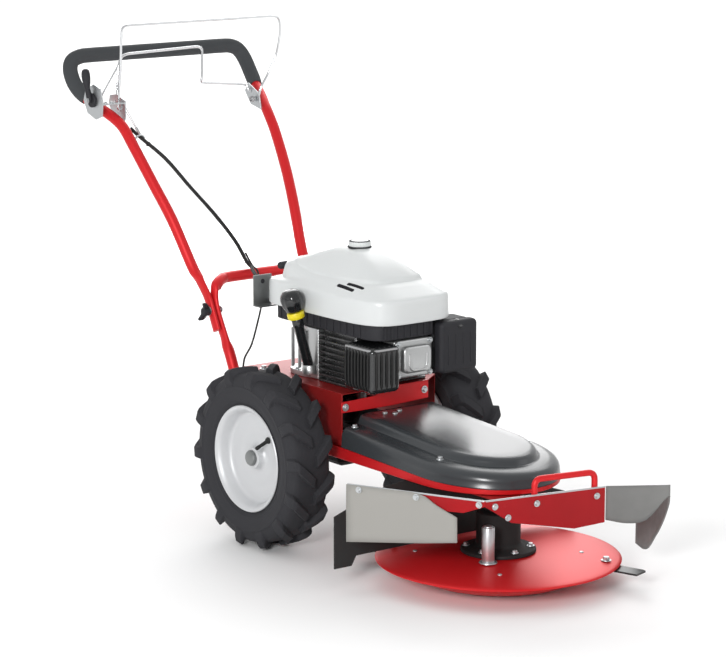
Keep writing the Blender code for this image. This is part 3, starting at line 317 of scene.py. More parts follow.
def curve_through(points, per_span=6):
    """A smooth line through the points."""
    ends = [2 * points[0] - points[1], *points, 2 * points[-1] - points[-2]]
    line = []
    for p0, p1, p2, p3 in zip(ends, ends[1:], ends[2:], ends[3:]):
        for k in range(per_span):
            t = k / per_span
            line.append(0.5 * (2 * p1 + (p2 - p0) * t + (2 * p0 - 5 * p1 + 4 * p2 - p3) * t ** 2
                               + (3 * p1 - p0 - 3 * p2 + p3) * t ** 3))
    return line + [points[-1]]


def bent(points, radius, steps=6):
    """Straight runs with each corner eased over a radius, as wire is bent."""
    line = [points[0]]
    for before, corner, after in zip(points, points[1:], points[2:]):
        back = (before - corner).normalized() * min(radius, (before - corner).length * 0.49)
        on = (after - corner).normalized() * min(radius, (after - corner).length * 0.49)
        for k in range(steps + 1):
            t = k / steps
            line.append(corner + back * (1 - t) ** 2 + on * t ** 2)
    return line + [points[-1]]


def arc(centre, radius, start, end, steps):
    """(a, b) points round a circle, angles in degrees."""
    return [(centre[0] + radius * cos(radians(start + (end - start) * i / steps)),
             centre[1] + radius * sin(radians(start + (end - start) * i / steps))) for i in range(steps + 1)]


def rounded(rear, front, right, left, corner, up, steps=6):
    """World points of a rounded rectangle at one level."""
    points = []
    for f, l, start in ((front - corner, left - corner, 0), (rear + corner, left - corner, 90),
                        (rear + corner, right + corner, 180), (front - corner, right + corner, 270)):
        points += [at(a, b, up) for a, b in arc((f, l), corner, start, start + 90, steps)]
    return points


def block(name, low, high, width, segments=3):
    """A box between two (forward, left, up) corners, with round edges."""
    shape = bmesh.new()
    bmesh.ops.create_cube(shape, size=1)
    a, b = at(*low), at(*high)
    size = Vector(abs(p - q) for p, q in zip(a, b))
    bmesh.ops.scale(shape, vec=size, verts=shape.verts)
    bmesh.ops.translate(shape, vec=(a + b) / 2, verts=shape.verts)
    return rounded_edges(made(name, shape), width, segments)


def refined(node, width=0.001, segments=2):
    """The frame's own solid for a node, with its edges rounded."""
    shape = bmesh.new()
    shape.from_mesh(frame["nodes"][node].data)
    bmesh.ops.remove_doubles(shape, verts=shape.verts, dist=1e-6)
    bmesh.ops.dissolve_limit(shape, angle_limit=radians(0.5), verts=shape.verts, edges=shape.edges)
    return rounded_edges(made(node + "_body", shape), width, segments)


def keep(node, look, body, width, segments=2):
    """Show a node by its own solid, with its edges rounded."""
    fit(refined(node, width, segments), look, body, node)


def hex_bolt(shape, place, direction, size=0.006):
    """A hexagon head on its washer. size is the half width of the head."""
    turned(shape, [(0, 0), (size * 1.5, 0), (size * 1.55, 0.0004), (size * 1.5, 0.0014), (0, 0.0014)], place,
           direction, 20)
    turned(shape, [(size, 0.001), (size * 1.02, 0.0015), (size * 1.02, size * 0.95),
                   (size * 0.88, size * 1.15)],
           place, direction, 6)


def slab(shape, place, *sides, turn=Matrix.Identity(4)):
    """Add a plain block about a world point, with its three sides given in metres."""
    bmesh.ops.create_cube(shape, size=1, matrix=Matrix.Translation(place) @ turn @ Matrix.Diagonal((*sides,
                                                                                                    1)))


def bolts(name, places, direction, body, size=0.006, look="zinc"):
    shape = bmesh.new()
    for place in places:
        hex_bolt(shape, place, direction, size)
    return fit(made(name, shape, 20), look, body)


def along(start, end, distance):
    reach = hypot(end[0] - start[0], end[1] - start[1])
    return tuple(a + (b - a) * distance / reach for a, b in zip(start, end))


# ---------------------------------------------------------------- wheels

LUGS = 14
LUG_SWEEP = 0.22          # radians that a lug's outer end lags behind its middle
LUG_PHASE = 0.1
# stations of a lug: top radius, top offset, foot radius, foot offset
LUG_STATIONS = [
    (0.199, 0.0035, 0.182, 0.0035), (0.2, 0.018, 0.182, 0.018), (0.2, 0.034, 0.182, 0.032),
    (0.1988, 0.045, 0.178, 0.038), (0.1935, 0.0515, 0.172, 0.042), (0.183, 0.0545, 0.168, 0.046),
    (0.171, 0.0552, 0.162, 0.049), (0.162, 0.0535, 0.158, 0.05),
]
CARCASS = [
    (0.1085, 0.04), (0.112, 0.0425), (0.1165, 0.0436), (0.12, 0.0426), (0.1225, 0.044), (0.1275, 0.0475),
    (0.129, 0.0486), (0.1305, 0.0484), (0.135, 0.05), (0.142, 0.0517), (0.15, 0.0525), (0.156, 0.0526),
    (0.1575, 0.0536), (0.1595, 0.0536), (0.161, 0.0522), (0.168, 0.0508), (0.1745, 0.0488), (0.18, 0.0455),
    (0.1842, 0.0405), (0.1868, 0.032), (0.188, 0.018), (0.1883, 0.006),
]


def on_wheel(hub, radius, turn, offset):
    """World point at a radius, an angle from the top towards the rear, and an offset to the left."""
    return hub + Vector((offset, radius * sin(turn), radius * cos(turn)))


def lug(shape, hub, side, turn):
    rings = []
    for top, out, foot, root in LUG_STATIONS:
        lag = LUG_SWEEP * min(out, 0.05) / 0.048
        half_top, half_foot = 0.011 / top, 0.0165 / foot
        rings.append([on_wheel(hub, foot, turn + lag - half_foot, side * root),
                      on_wheel(hub, top, turn + lag - half_top, side * out),
                      on_wheel(hub, top, turn + lag + half_top, side * out),
                      on_wheel(hub, foot, turn + lag + half_foot, side * root)])
    loft(shape, rings)


def tyre(word, hub, body):
    carcass = lathe("tyre_" + word + "_carcass", CARCASS + [(r, -o) for r, o in reversed(CARCASS)], hub, LEFT,
                    112,
                    closed=True)
    fit(carcass, "tyre_rubber", body, "tyre_" + word)
    shape = bmesh.new()
    pitch = 2 * pi / LUGS
    for side in (-1, 1):
        for k in range(LUGS):
            lug(shape, hub, side, LUG_PHASE + k * pitch + (pitch / 2 if side > 0 else 0))
    lugs = rounded_edges(made("tyre_" + word + "_lugs", shape, 30), 0.0016, 2, 30)
    fit(lugs, "tyre_rubber", body)


def rim(word, hub, side, body):
    """Pressed dish with rolled edges, its hub, and a rubber valve."""
    out = LEFT * side
    profile = [
        (0.1085, -0.04), (0.1165, -0.0435), (0.118, -0.0455), (0.1165, -0.0475), (0.113, -0.047),
        (0.1085, -0.043),
        (0.104, -0.038), (0.103, -0.002), (0.096, 0.002), (0.06, 0.0045), (0.03, 0.001), (0.023, -0.038),
        (0.011, -0.038), (0.011, 0.029), (0.0215, 0.029), (0.0228, 0.028), (0.0232, 0.026), (0.024, 0.017),
        (0.0275, 0.0125), (0.034, 0.0105), (0.056, 0.0108), (0.062, 0.0122), (0.068, 0.0128), (0.09, 0.0138),
        (0.0965, 0.0152), (0.1, 0.0185), (0.102, 0.024), (0.1045, 0.037), (0.1085, 0.043), (0.113, 0.047),
        (0.1165, 0.0475), (0.118, 0.0455), (0.1165, 0.0435), (0.1085, 0.04),
    ]
    dish = lathe("rim_" + word + "_dish", profile, hub, out, 112, closed=True)
    fit(dish, "wheel_silver", body, "rim_" + word)
    foot = hub + Vector((side * 0.0115, -0.038, 0.044))
    tip = hub + Vector((side * 0.05, -0.0445, 0.0315))
    lean = (tip - foot).normalized()
    reach = (tip - foot).length
    valve = [(0, 0), (0.0075, 0), (0.007, 0.004), (0.0042, 0.008), (0.0038, reach * 0.72),
             (0.0044, reach * 0.74),
             (0.0044, reach * 0.97), (0.0034, reach), (0, reach)]
    fit(lathe("valve_" + word, valve, foot, lean, 20), "black_rubber", body)


def wheels():
    for side, word in ((-1, "right"), (1, "left")):
        hub = middle("rim_" + word)
        hub.y, hub.z = AXLE.y, AXLE.z
        tyre(word, hub, "wheel_" + word)
        rim(word, hub, side, "wheel_" + word)
    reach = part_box("axle")[1].x
    fit(lathe("axle_rod", [(0, -reach), (0.0095, -reach), (0.01, 0.0005 - reach), (0.01, reach - 0.0005),
                           (0.0095, reach), (0, reach)], AXLE, LEFT, 32), "steel", "axle_shaft", "axle")
    shape = bmesh.new()
    for side in (-1, 1):
        face = AXLE + LEFT * side * (reach - 0.0085)
        turned(shape, [(0, 0), (0.0172, 0), (0.0176, 0.001), (0.0172, 0.0045), (0.0155, 0.0072),
                       (0.011, 0.0088), (0, 0.0095)],
              face, LEFT * side, 48)
    fit(made("axle_caps", shape), "grey_steel", "axle_shaft")


# ---------------------------------------------------------------- handle

TUBE = 0.0125
CLAMP = (-0.312, 0.467)
UPPER_HALF, LOWER_HALF, PRESSED = 0.1545, 0.14, 0.56
UPPER_SIDE = [
    (-0.29, UPPER_HALF, 0.424), (-0.311, UPPER_HALF, 0.466), (-0.32, UPPER_HALF, 0.485),
    (-0.333, UPPER_HALF, 0.504), (-0.3575, 0.155, 0.53), (-0.3845, 0.1565, 0.558),
    (-0.439, 0.173, 0.66), (-0.492, 0.189, 0.74), (-0.551, 0.202, 0.82), (-0.585, 0.207, 0.86),
    (-0.611, 0.214, 0.88), (-0.645, 0.227, 0.9), (-0.687, 0.241, 0.922), (-0.722, 0.25, 0.95),
    (-0.745, 0.249, 0.981), (-0.756, 0.238, 1.003), (-0.757, 0.216, 1.013), (-0.757, 0.186, 1.015),
    (-0.757, 0.11, 1.015),
]
LOWER_SIDE = [
    (-0.215, LOWER_HALF, 0.277), (-0.2441, LOWER_HALF, 0.3366), (-0.2614, LOWER_HALF, 0.3729),
    (-0.284, LOWER_HALF, 0.4114), (-0.302, LOWER_HALF, 0.444), (-0.3145, LOWER_HALF, 0.47),
    (-0.3205, LOWER_HALF, 0.493), (-0.322, 0.137, 0.512), (-0.329, 0.125, 0.524), (-0.34, 0.106, 0.53),
    (-0.352, 0.075, 0.531),
]
GRIP_FROM = 12


def both_sides(points):
    return [at(f, -l, u) for f, l, u in points] + [at(*p) for p in reversed(points)]


def handle_tube(name, points, half, low, high, body, node):
    """A bent tube, pressed flat between two heights where the clamp bolt goes through."""
    line = curve_through(both_sides(points), 5)
    shape = bmesh.new()
    loft(shape, sweep_rings(line, TUBE, 24))
    for vert in shape.verts:
        past = max(low - vert.co.z, vert.co.z - high, 0.0)
        share = max(0.0, 1.0 - past / 0.018)
        side = 1 if vert.co.x > 0 else -1
        offset = vert.co.x - side * half
        if abs(offset) < 0.016:
            vert.co.x = side * half + offset * (1 - share * share * (3 - 2 * share) * (1 - PRESSED))
    fit(made(name, shape, 60), "red_paint", body, node)
    return line


def handle():
    handle_tube("lower_handle_tube", LOWER_SIDE, LOWER_HALF, 0.404, 0.518, "chassis", "lower_handle")
    line = handle_tube("upper_handle_tube", UPPER_SIDE, UPPER_HALF, 0.0, 0.528, "handle", "upper_handle")
    sleeve = line[5 * GRIP_FROM:len(line) - 5 * GRIP_FROM]
    radii = [0.0175] * len(sleeve)
    for k, radius in enumerate((0.015, 0.0166, 0.0173)):
        radii[k] = radii[-1 - k] = radius
    fit(sweep("foam_grip", sleeve, radii, 32), "foam", "handle", "grip")
    for side, word in ((-1, "right"), (1, "left")):
        knob(word, side)


def knob(word, side):
    """Winged knob with ribbed boss, its carriage bolt's head inside, and washers."""
    body = "knob_" + word
    out = LEFT * side
    centre = at(CLAMP[0], 0, CLAMP[1])
    shape = bmesh.new()
    rings = []
    for reach, radius in ((0.162, 0.0098), (0.1632, 0.0106), (0.176, 0.01), (0.179, 0.0082), (0.18, 0.005)):
        ring = []
        for k in range(48):
            ribbed = radius * (1 + 0.05 * cos(12 * 2 * pi * k / 48))
            ring.append(centre + out * reach + Vector((0, ribbed * cos(2 * pi * k / 48),
                                                       ribbed * sin(2 * pi * k / 48))))
        rings.append(ring)
    loft(shape, rings)
    tilt = Matrix.Rotation(radians(25), 3, "X")
    for way in (-1, 1):
        wing = []
        for up, out_low, out_high, thick in ((0.006, 0.165, 0.1785, 0.0045), (0.012, 0.1665, 0.18, 0.0042),
                                             (0.018, 0.17, 0.183, 0.004), (0.0222, 0.1735, 0.185, 0.0034)):
            wing.append([centre + out * o + tilt @ Vector((0, t, way * up))
                         for o, t in ((out_low, -thick), (out_high, -thick), (out_high, thick),
                                      (out_low, thick))])
        loft(shape, wing)
    wings = rounded_edges(made("knob_" + word + "_wings", shape, 30), 0.0012, 2, 40)
    fit(wings, "black_plastic", body, "clamp_knob_" + word)
    shape = bmesh.new()
    turned(shape, [(0, 0.1275), (0.004, 0.1275), (0.004, 0.164), (0, 0.164)], centre, out, 20)
    turned(shape, [(0, 0.1305), (0.0085, 0.1315), (0.0078, 0.129), (0.005, 0.1268), (0, 0.1262)], centre, out,
           24)
    turned(shape, [(0.0045, 0.1618), (0.011, 0.1618), (0.0112, 0.1625), (0.011, 0.1634), (0.0045, 0.1634)],
           centre, out,
          28)
    fit(made("clamp_bolt_" + word, shape), "zinc", body)


# ---------------------------------------------------------------- bails, controls and cables

WIRE = 0.003
CUTTER_BAIL_PIVOT, DRIVE_BAIL_PIVOT = (-0.62, 0.898), (-0.64, 0.917)
BAIL_TOP = 1.097


def bails():
    f, u = CUTTER_BAIL_PIVOT
    right = [(f, -0.1875, u), (f, -0.2002, u), (-0.615, -0.2002, 0.93), (-0.604, -0.201, 0.99),
             (-0.594, -0.205, 1.05), (-0.588, -0.207, 1.083), (-0.5868, -0.204, 1.093),
             (-0.5865, -0.194, BAIL_TOP)]
    left = [(f, 0.1875, u), (f, 0.2002, u), (-0.617, 0.203, 0.92), (-0.61, 0.225, 0.96),
            (-0.601, 0.242, 1.005), (-0.594, 0.247, 1.05), (-0.588, 0.242, 1.083),
            (-0.5868, 0.235, 1.093), (-0.5865, 0.223, BAIL_TOP)]
    line = bent([at(*p) for p in right] + [at(*p) for p in reversed(left)], 0.012)
    fit(sweep("cutter_bail_wire", line, WIRE, 14), "chrome_wire", "cutter_clutch_bail", "cutter_bail")
    f, u = DRIVE_BAIL_PIVOT
    steps = [(f, -0.1955, u), (f, -0.187, u), (-0.643, -0.186, 0.965), (-0.645, -0.179, 1.005),
             (-0.646, -0.17, 1.02), (-0.646, -0.155, 1.0245), (-0.646, 0.042, 1.03),
             (-0.646, 0.056, 1.026), (-0.646, 0.056, 1.01), (-0.646, 0.055, 0.955),
             (-0.65, 0.0535, 0.944), (-0.65, 0.064, 0.942), (-0.649, 0.172, 0.932),
             (-0.647, 0.184, 0.929), (f, 0.187, u), (f, 0.1955, u)]
    line = bent([at(*p) for p in steps], 0.009)
    fit(sweep("drive_bail_wire", line, WIRE, 14), "chrome_wire", "drive_clutch_bail", "drive_bail")
    brace = [(-0.645, -0.1795, 1.001), (-0.6412, -0.229, 0.934), (f, -0.237, u + 0.0005), (f, -0.256, u)]
    fit(sweep("drive_bail_brace", bent([at(*p) for p in brace], 0.008), 0.002, 12), "chrome_wire",
        "drive_clutch_bail")


def controls():
    """Pressed brackets, the lever's housing and knob, return springs, and the cables' ends."""
    keep("control_bracket", "zinc", "handle", 0.0007)
    keep("bail_bracket", "zinc", "handle", 0.0007)
    stem = curve_through([at(-0.63, -0.269, 0.92), at(-0.631, -0.27, 0.933), at(-0.635, -0.272, 0.952),
                          at(-0.639, -0.272, 0.97), at(-0.642, -0.2718, 0.985), at(-0.6432, -0.2715, 0.997)],
                         4)
    radii = [0.005 + 0.0022 * sin(pi * min(1.0, i / 9)) + 0.0052 * sin(pi * max(0,
                                                                                i - 8) / 13) ** 0.7 if i < 20
             else 0.0035 for i in range(len(stem))]
    radii[0] = 0.002
    fit(sweep("throttle_stem", stem, radii, 24), "black_plastic", "throttle", "throttle_lever")
    shape = bmesh.new()
    for side in (-1, 1):
        for (f, u), reach in ((CUTTER_BAIL_PIVOT, 0.1885), (DRIVE_BAIL_PIVOT, 0.1895)):
            turned(shape, [(0, 0), (0.0052, 0), (0.0056, 0.0006), (0.0056, 0.0016), (0.0048, 0.002),
                           (0, 0.002)],
                  at(f, side * reach, u), LEFT * side, 20)
    fit(made("bail_washers", shape), "zinc", "handle")
    housing = lathe("lever_hub", [(0, 0), (0.015, 0), (0.0165, 0.0015), (0.0165, 0.005), (0.015, 0.0065),
                                  (0, 0.0065)],
                    at(-0.63, -0.2605, 0.925), -LEFT, 40)
    fit(housing, "black_plastic", "handle")
    shape = bmesh.new()
    hex_bolt(shape, at(-0.63, -0.2752, 0.925), -LEFT, 0.0042)
    hex_bolt(shape, at(-0.605, -0.226, 0.9182), UP, 0.0038)
    hex_bolt(shape, at(-0.605, -0.242, 0.9182), UP, 0.0038)
    hex_bolt(shape, at(-0.614, 0.1948, 0.896), LEFT, 0.0042)
    fit(made("bracket_bolts", shape, 20), "zinc", "handle")
    spring("drive_return_spring", at(-0.64, -0.185, 0.917), at(-0.64, -0.178, 0.917), 0.0068, 5)
    spring("cutter_return_spring", at(-0.62, 0.185, 0.898), at(-0.62, 0.178, 0.898), 0.0068, 5)


def spring(name, start, end, radius, turns):
    axis = end - start
    turn = axis.normalized().to_track_quat("Z", "Y").to_matrix()
    steps = 16 * turns
    line = [start + turn @ Vector((radius * cos(2 * pi * k / 16), radius * sin(2 * pi * k / 16),
                                   axis.length * k / steps)) for k in range(steps + 1)]
    fit(sweep(name, line, 0.0007, 8), "steel", "handle")


LOOM = [
    (-0.59, -0.184, 0.858), (-0.558, -0.176, 0.838), (-0.486, -0.158, 0.796), (-0.4438, -0.12, 0.732),
    (-0.405, -0.078, 0.668), (-0.3727, -0.045, 0.609), (-0.356, -0.024, 0.561), (-0.338, -0.024, 0.551),
    (-0.3, -0.048, 0.551), (-0.235, -0.085, 0.552), (-0.1785, -0.11, 0.55),
]
THIN_CABLE = [
    (-0.378, -0.012, 0.576), (-0.354, -0.01, 0.55), (-0.328, -0.014, 0.541), (-0.285, -0.036, 0.516),
    (-0.247, -0.06, 0.487), (-0.2318, -0.085, 0.438), (-0.2246, -0.106, 0.3956), (-0.238, -0.117, 0.36),
    (-0.24, -0.116, 0.315), (-0.225, -0.1, 0.262), (-0.2, -0.075, 0.222), (-0.1325, -0.045, 0.2),
]


def cables():
    """Three cables lie in the loom, which bends where the handle folds. A thin one goes down behind."""
    line = curve_through([at(*p) for p in LOOM], 8)
    shape = bmesh.new()
    for k in range(3):
        strand = []
        for i, ring in enumerate(sweep_rings(line, 0.0024, 48)):
            strand.append(ring[(16 * k + i // 3) % 48])
        loft(shape, sweep_rings(strand, 0.0023, 10))
    loom = made("cable_bundle", shape, 60)
    loom.data.materials.append(material("black_rubber"))
    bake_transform(loom)
    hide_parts("cable_loom")
    thin = sweep("drive_cable_line", curve_through([at(*p) for p in THIN_CABLE], 8), 0.0022, 12)
    fit(thin, "black_rubber", "chassis", "drive_cable")
    tie("cable_tie_crossbar", at(-0.3545, -0.024, 0.56), at(-0.372, -0.043, 0.607), 0.0056, "chassis")
    tie("cable_tie_upper", at(-0.538, -0.1712, 0.826), at(-0.558, -0.176, 0.838), 0.0056, "handle")
    clip = bent([at(-0.556, -0.2, 0.83), at(-0.556, -0.19, 0.844), at(-0.556, -0.176, 0.846),
                 at(-0.556, -0.169, 0.838)], 0.006)
    fit(sweep("cable_clip", clip, 0.0022, 10), "zinc", "handle")
    for name, start, end in (("bail_wire_a", at(-0.616, -0.199, 0.923), at(-0.562, -0.177, 0.844)),
                             ("bail_wire_b", at(-0.643, -0.184, 0.935), at(-0.564, -0.174, 0.844))):
        run = (end - start).normalized()
        line = [start, start + run * 0.01, end - run * 0.022, end - run * 0.0215, end]
        fit(sweep(name, line, [0.0008, 0.0008, 0.0008, 0.0021, 0.0021], 8), "steel", "handle")


def tie(name, place, toward, radius, body):
    """A strap round the loom, with its little head."""
    way = (toward - place).normalized()
    shape = bmesh.new()
    turned(shape, [(radius - 0.0012, -0.0018), (radius, -0.0016), (radius, 0.0016),
                   (radius - 0.0012, 0.0018)], place, way,
          24, closed=True)
    side = way.cross(UP).normalized()
    slab(shape, place + side * radius, 0.004, 0.004, 0.005, turn=way.to_track_quat("Z",
                                                                                   "Y").to_matrix().to_4x4())
    fit(rounded_edges(made(name, shape), 0.0005), "black_plastic", body)


# ---------------------------------------------------------------- chassis, belt tray and cover

TRAY_HALF, NOSE_MIDDLE, NOSE, TRAY_RIM, NOSE_DROP = 0.155, 0.45, 0.195, 0.2385, 0.0165
DECK_FRONT = 0.165


def oval(rear, half, tip, steps=28):
    """(forward, left) points: square at the rear, half an ellipse at the nose."""
    reach = tip - NOSE_MIDDLE
    nose = [(NOSE_MIDDLE + reach * sin(pi * i / steps),
             -half * cos(pi * i / steps)) for i in range(steps + 1)]
    side = [(rear + (NOSE_MIDDLE - rear) * k / 5, 1 - 0.03 * (1 - k / 5)) for k in range(5)]
    return [(f, -half * w) for f, w in side] + nose + [(f, half * w) for f, w in reversed(side)]


def sloped(forward, up):
    """Height of the cover's and tray's edges, which come down towards the nose, the top more than the rim."""
    reach = max(0.0, (forward - DECK_FRONT) / (NOSE_MIDDLE + NOSE - DECK_FRONT))
    return up - reach * (NOSE_DROP + 0.3 * (up - TRAY_RIM))


def belt_cover():
    """Glossy cover in two levels, with soft edges and a lip round the foot."""
    rear, tip = DECK_FRONT + 0.0045, NOSE_MIDDLE + NOSE
    levels = [  # rear edge, half width, tip, up
        (rear + 0.003, 0.1515, tip - 0.0035, 0.24), (rear, 0.155, tip, 0.2395), (rear, 0.155, tip, 0.2425),
        (rear, 0.1543, tip - 0.0007, 0.244), (rear, 0.1535, tip - 0.0015, 0.26),
              (rear, 0.1525, tip - 0.003, 0.269),
        (rear + 0.001, 0.149, tip - 0.007, 0.2765), (rear + 0.002, 0.143, tip - 0.013, 0.2815),
        (rear + 0.003, 0.13, tip - 0.028, 0.2855), (rear + 0.004, 0.116, tip - 0.045, 0.2872),
        (rear + 0.004, 0.112, tip - 0.05, 0.288), (rear + 0.005, 0.1105, tip - 0.052, 0.29),
        (rear + 0.006, 0.1085, tip - 0.054, 0.299), (rear + 0.007, 0.106, tip - 0.057, 0.304),
        (rear + 0.008, 0.101, tip - 0.062, 0.3078), (rear + 0.01, 0.093, tip - 0.072, 0.3098),
        (rear + 0.02, 0.07, tip - 0.105, 0.3104), (rear + 0.06, 0.025, tip - 0.15, 0.3106),
    ]
    shape = bmesh.new()
    loft(shape, [[at(f, l, sloped(f, u)) for f, l in oval(back, half, front)] for back, half, front,
                 u in levels],
         cap_first=False)
    fit(made("belt_cover_shell", shape, 70), "cover_plastic", "chassis", "belt_cover")
    shape = bmesh.new()
    for f, l in ((0.19, -0.129), (0.19, 0.129), (0.47, -0.12), (0.47, 0.12)):
        hex_bolt(shape, at(f, l, sloped(f, 0.2855)), UP, 0.0055)
    for f, l in ((0.2, -0.055), (0.2, -0.015), (0.214, -0.038)):
        turned(shape, [(0, 0), (0.0062, 0), (0.006, 0.0022), (0.004, 0.0036), (0, 0.004)],
               at(f, l, sloped(f, 0.31)), UP,
              20)
    fit(made("cover_bolts", shape, 20), "zinc", "chassis")


def tray_and_chassis():
    outer = oval(0.0965, TRAY_HALF, NOSE_MIDDLE + NOSE)
    shape = bmesh.new()
    foot = [(0.94, 0.212), (0.985, 0.2122), (0.998, 0.214), (1.0, 0.2175)]
    rings = []
    for share, up in foot:
        rings.append([at(NOSE_MIDDLE + (f - NOSE_MIDDLE) * share if f > NOSE_MIDDLE else f, l * share, up)
                      for f, l in outer])
    rings.append([at(f, l, sloped(f, TRAY_RIM)) for f, l in outer])
    inner = oval(0.099, TRAY_HALF - 0.0025, NOSE_MIDDLE + NOSE - 0.0025)
    rings += [[at(f, l, sloped(f, TRAY_RIM)) for f, l in inner], [at(f, l, 0.2145) for f, l in inner]]
    loft(shape, rings)
    fit(made("belt_tray_pan", shape, 40), "red_paint", "chassis", "belt_tray")
    keep("chassis_frame", "dark_red_paint", "chassis", 0.0022, 3)
    keep("front_bracket", "red_paint", "chassis", 0.0012)
    bolts("front_bolts", [at(0.1685, 0.08, 0.336), at(0.1685, -0.138, 0.325)], AHEAD, "chassis",
          0.0055)
    bolts("deck_bolts", [at(f, l, 0.3552) for f in (-0.15, -0.12) for l in (-0.125, 0.125)], UP, "chassis",
          0.0065)
    for side, word in ((-1, "right"), (1, "left")):
        bolts("side_bolts_" + word, [at(f, side * 0.1452, u) for f,
                                     u in ((-0.18, 0.3), (-0.15, 0.27), (0.06, 0.262),
                                                                       (-0.03, 0.262), (0.03, 0.3))],
              LEFT * side, "chassis", 0.0055)
    for node, width in (("gearbox", 0.004), ("spindle_housing", 0.0012)):
        keep(node, "cast_iron", "chassis", width, 3)
    bolts("gearbox_bolts", [at(f, l, 0.2352) for f, l in ((-0.12, -0.045), (-0.12, 0.045), (0.03, -0.045),
                                                         (0.03, 0.045))], UP, "chassis", 0.005)
    ring = [at(SPINDLE_FORWARD + 0.048 * cos(a), 0.048 * sin(a),
               0.2035) for a in (pi / 4 + pi / 2 * k for k in range(4))]
    bolts("spindle_bolts", ring, -UP, "chassis", 0.0055)


# ---------------------------------------------------------------- engine

def engine_block():
    """Sump with its flange and ribs, nine fins round the barrel, and the housing under the cowl."""
    keep("crankcase", "aluminium", "chassis", 0.003, 3)
    rim_low = [rounded(-0.1085, 0.0185, -0.1065, 0.1065, 0.05, u, 8) for u in (0.3558, 0.357, 0.3655, 0.367)]
    shape = bmesh.new()
    loft(shape, rim_low)
    fit(rounded_edges(made("sump_flange", shape), 0.001), "aluminium", "chassis")
    bolts("sump_bolts", [at(f, l, 0.3672) for f, l in ((-0.098, -0.05), (-0.098, 0.05), (-0.055, -0.1015),
                                                      (-0.055, 0.1015), (0.008, -0.1015))], UP, "chassis",
          0.0048)
    ribs = bmesh.new()
    for f in (-0.075, -0.05, -0.025):
        for side in (-1, 1):
            slab(ribs, at(f, side * 0.099, 0.415), 0.008, 0.004, 0.088)
    fit(rounded_edges(made("crankcase_ribs", ribs), 0.001), "aluminium", "chassis")
    boss = lathe("dipstick_boss", [(0, 0.004), (0.0165, 0.004), (0.017, 0.006), (0.0165, 0.022),
                                   (0.015, 0.024),
                                   (0, 0.024)], at(0.0035, -0.111, 0.365), UP, 32)
    fit(boss, "aluminium", "chassis")
    fins, low, high = 9, 0.3562, 0.47
    pitch = (high - low) / fins
    shape = bmesh.new()
    core = [rounded(0.0235, 0.142, -0.09, 0.09, 0.01, u, 3) for u in (low, high)]
    loft(shape, core)
    for k in range(fins):
        foot = low + pitch * k
        loft(shape, [rounded(0.0208 + d, 0.1487 - d, d - 0.1038, 0.1038 - d, 0.008, foot + h, 3)
                     for d, h in ((0.0008, 0), (0, 0.001), (0, 0.0038), (0.0008, 0.0048))])
    fit(made("cylinder_fins", shape, 30), "fin_metal", "chassis", "cylinder_block")
    keep("blower_housing", "black_plastic", "chassis", 0.0015, 2)
    shape = bmesh.new()
    for k in range(13):
        for side in (-1, 1):
            slab(shape, at(-0.11 + 0.024 * k, side * 0.1062, 0.4905), 0.003, 0.005, 0.028)
    for k in range(8):
        slab(shape, at(0.2362, -0.082 + 0.018 * k, 0.4905), 0.005, 0.003, 0.028)
    fit(rounded_edges(made("housing_ribs", shape), 0.0007), "black_plastic", "chassis")


def panel(name, inset, low, high, corner):
    """A rounded plate on the cover's face, drawn in from the cover's outline by the inset."""
    shape = bmesh.new()
    rings = []
    for forward, extra in ((low, 0.0), (high - 0.004, 0.0), (high - 0.0012, 0.0014), (high, 0.0045)):
        half, top, foot = 0.051 - inset - extra, 0.47 - inset - extra, 0.385 + inset + extra
        ring = []
        for l, u, start in ((half - corner, top - corner, 0), (corner - half, top - corner, 90),
                            (corner - half, foot + corner, 180), (half - corner, foot + corner, 270)):
            ring += [at(forward, a - 0.001, b) for a, b in arc((l, u), corner, start, start + 90, 5)]
        rings.append(ring)
    loft(shape, rings)
    return fit(made(name, shape, 50), "aluminium", "chassis")


def valve_cover():
    """Cast cover with a flange, a raised middle and a ridge round it."""
    fit(block("valve_cover_base", (0.15, -0.052, 0.385), (0.23, 0.05, 0.47), 0.008, 4), "aluminium",
        "chassis",
        "valve_cover")
    panel("valve_cover_flange", 0.0005, 0.228, 0.2345, 0.01)
    panel("valve_cover_raised", 0.013, 0.228, 0.249, 0.012)
    ridge = [at(0.248, l - 0.001, u) for l, u in ((-0.024, 0.44), (-0.024, 0.412), (-0.016, 0.404),
                                                  (0.016, 0.404),
                                                   (0.024, 0.412), (0.024, 0.44))]
    fit(sweep("valve_cover_ridge", bent(ridge, 0.006), 0.0028, 12), "aluminium", "chassis")
    bolts("valve_cover_bolts", [at(0.2344, l, u) for l in (-0.0445, 0.0425) for u in (0.3925, 0.4625)],
          AHEAD, "chassis", 0.0042)


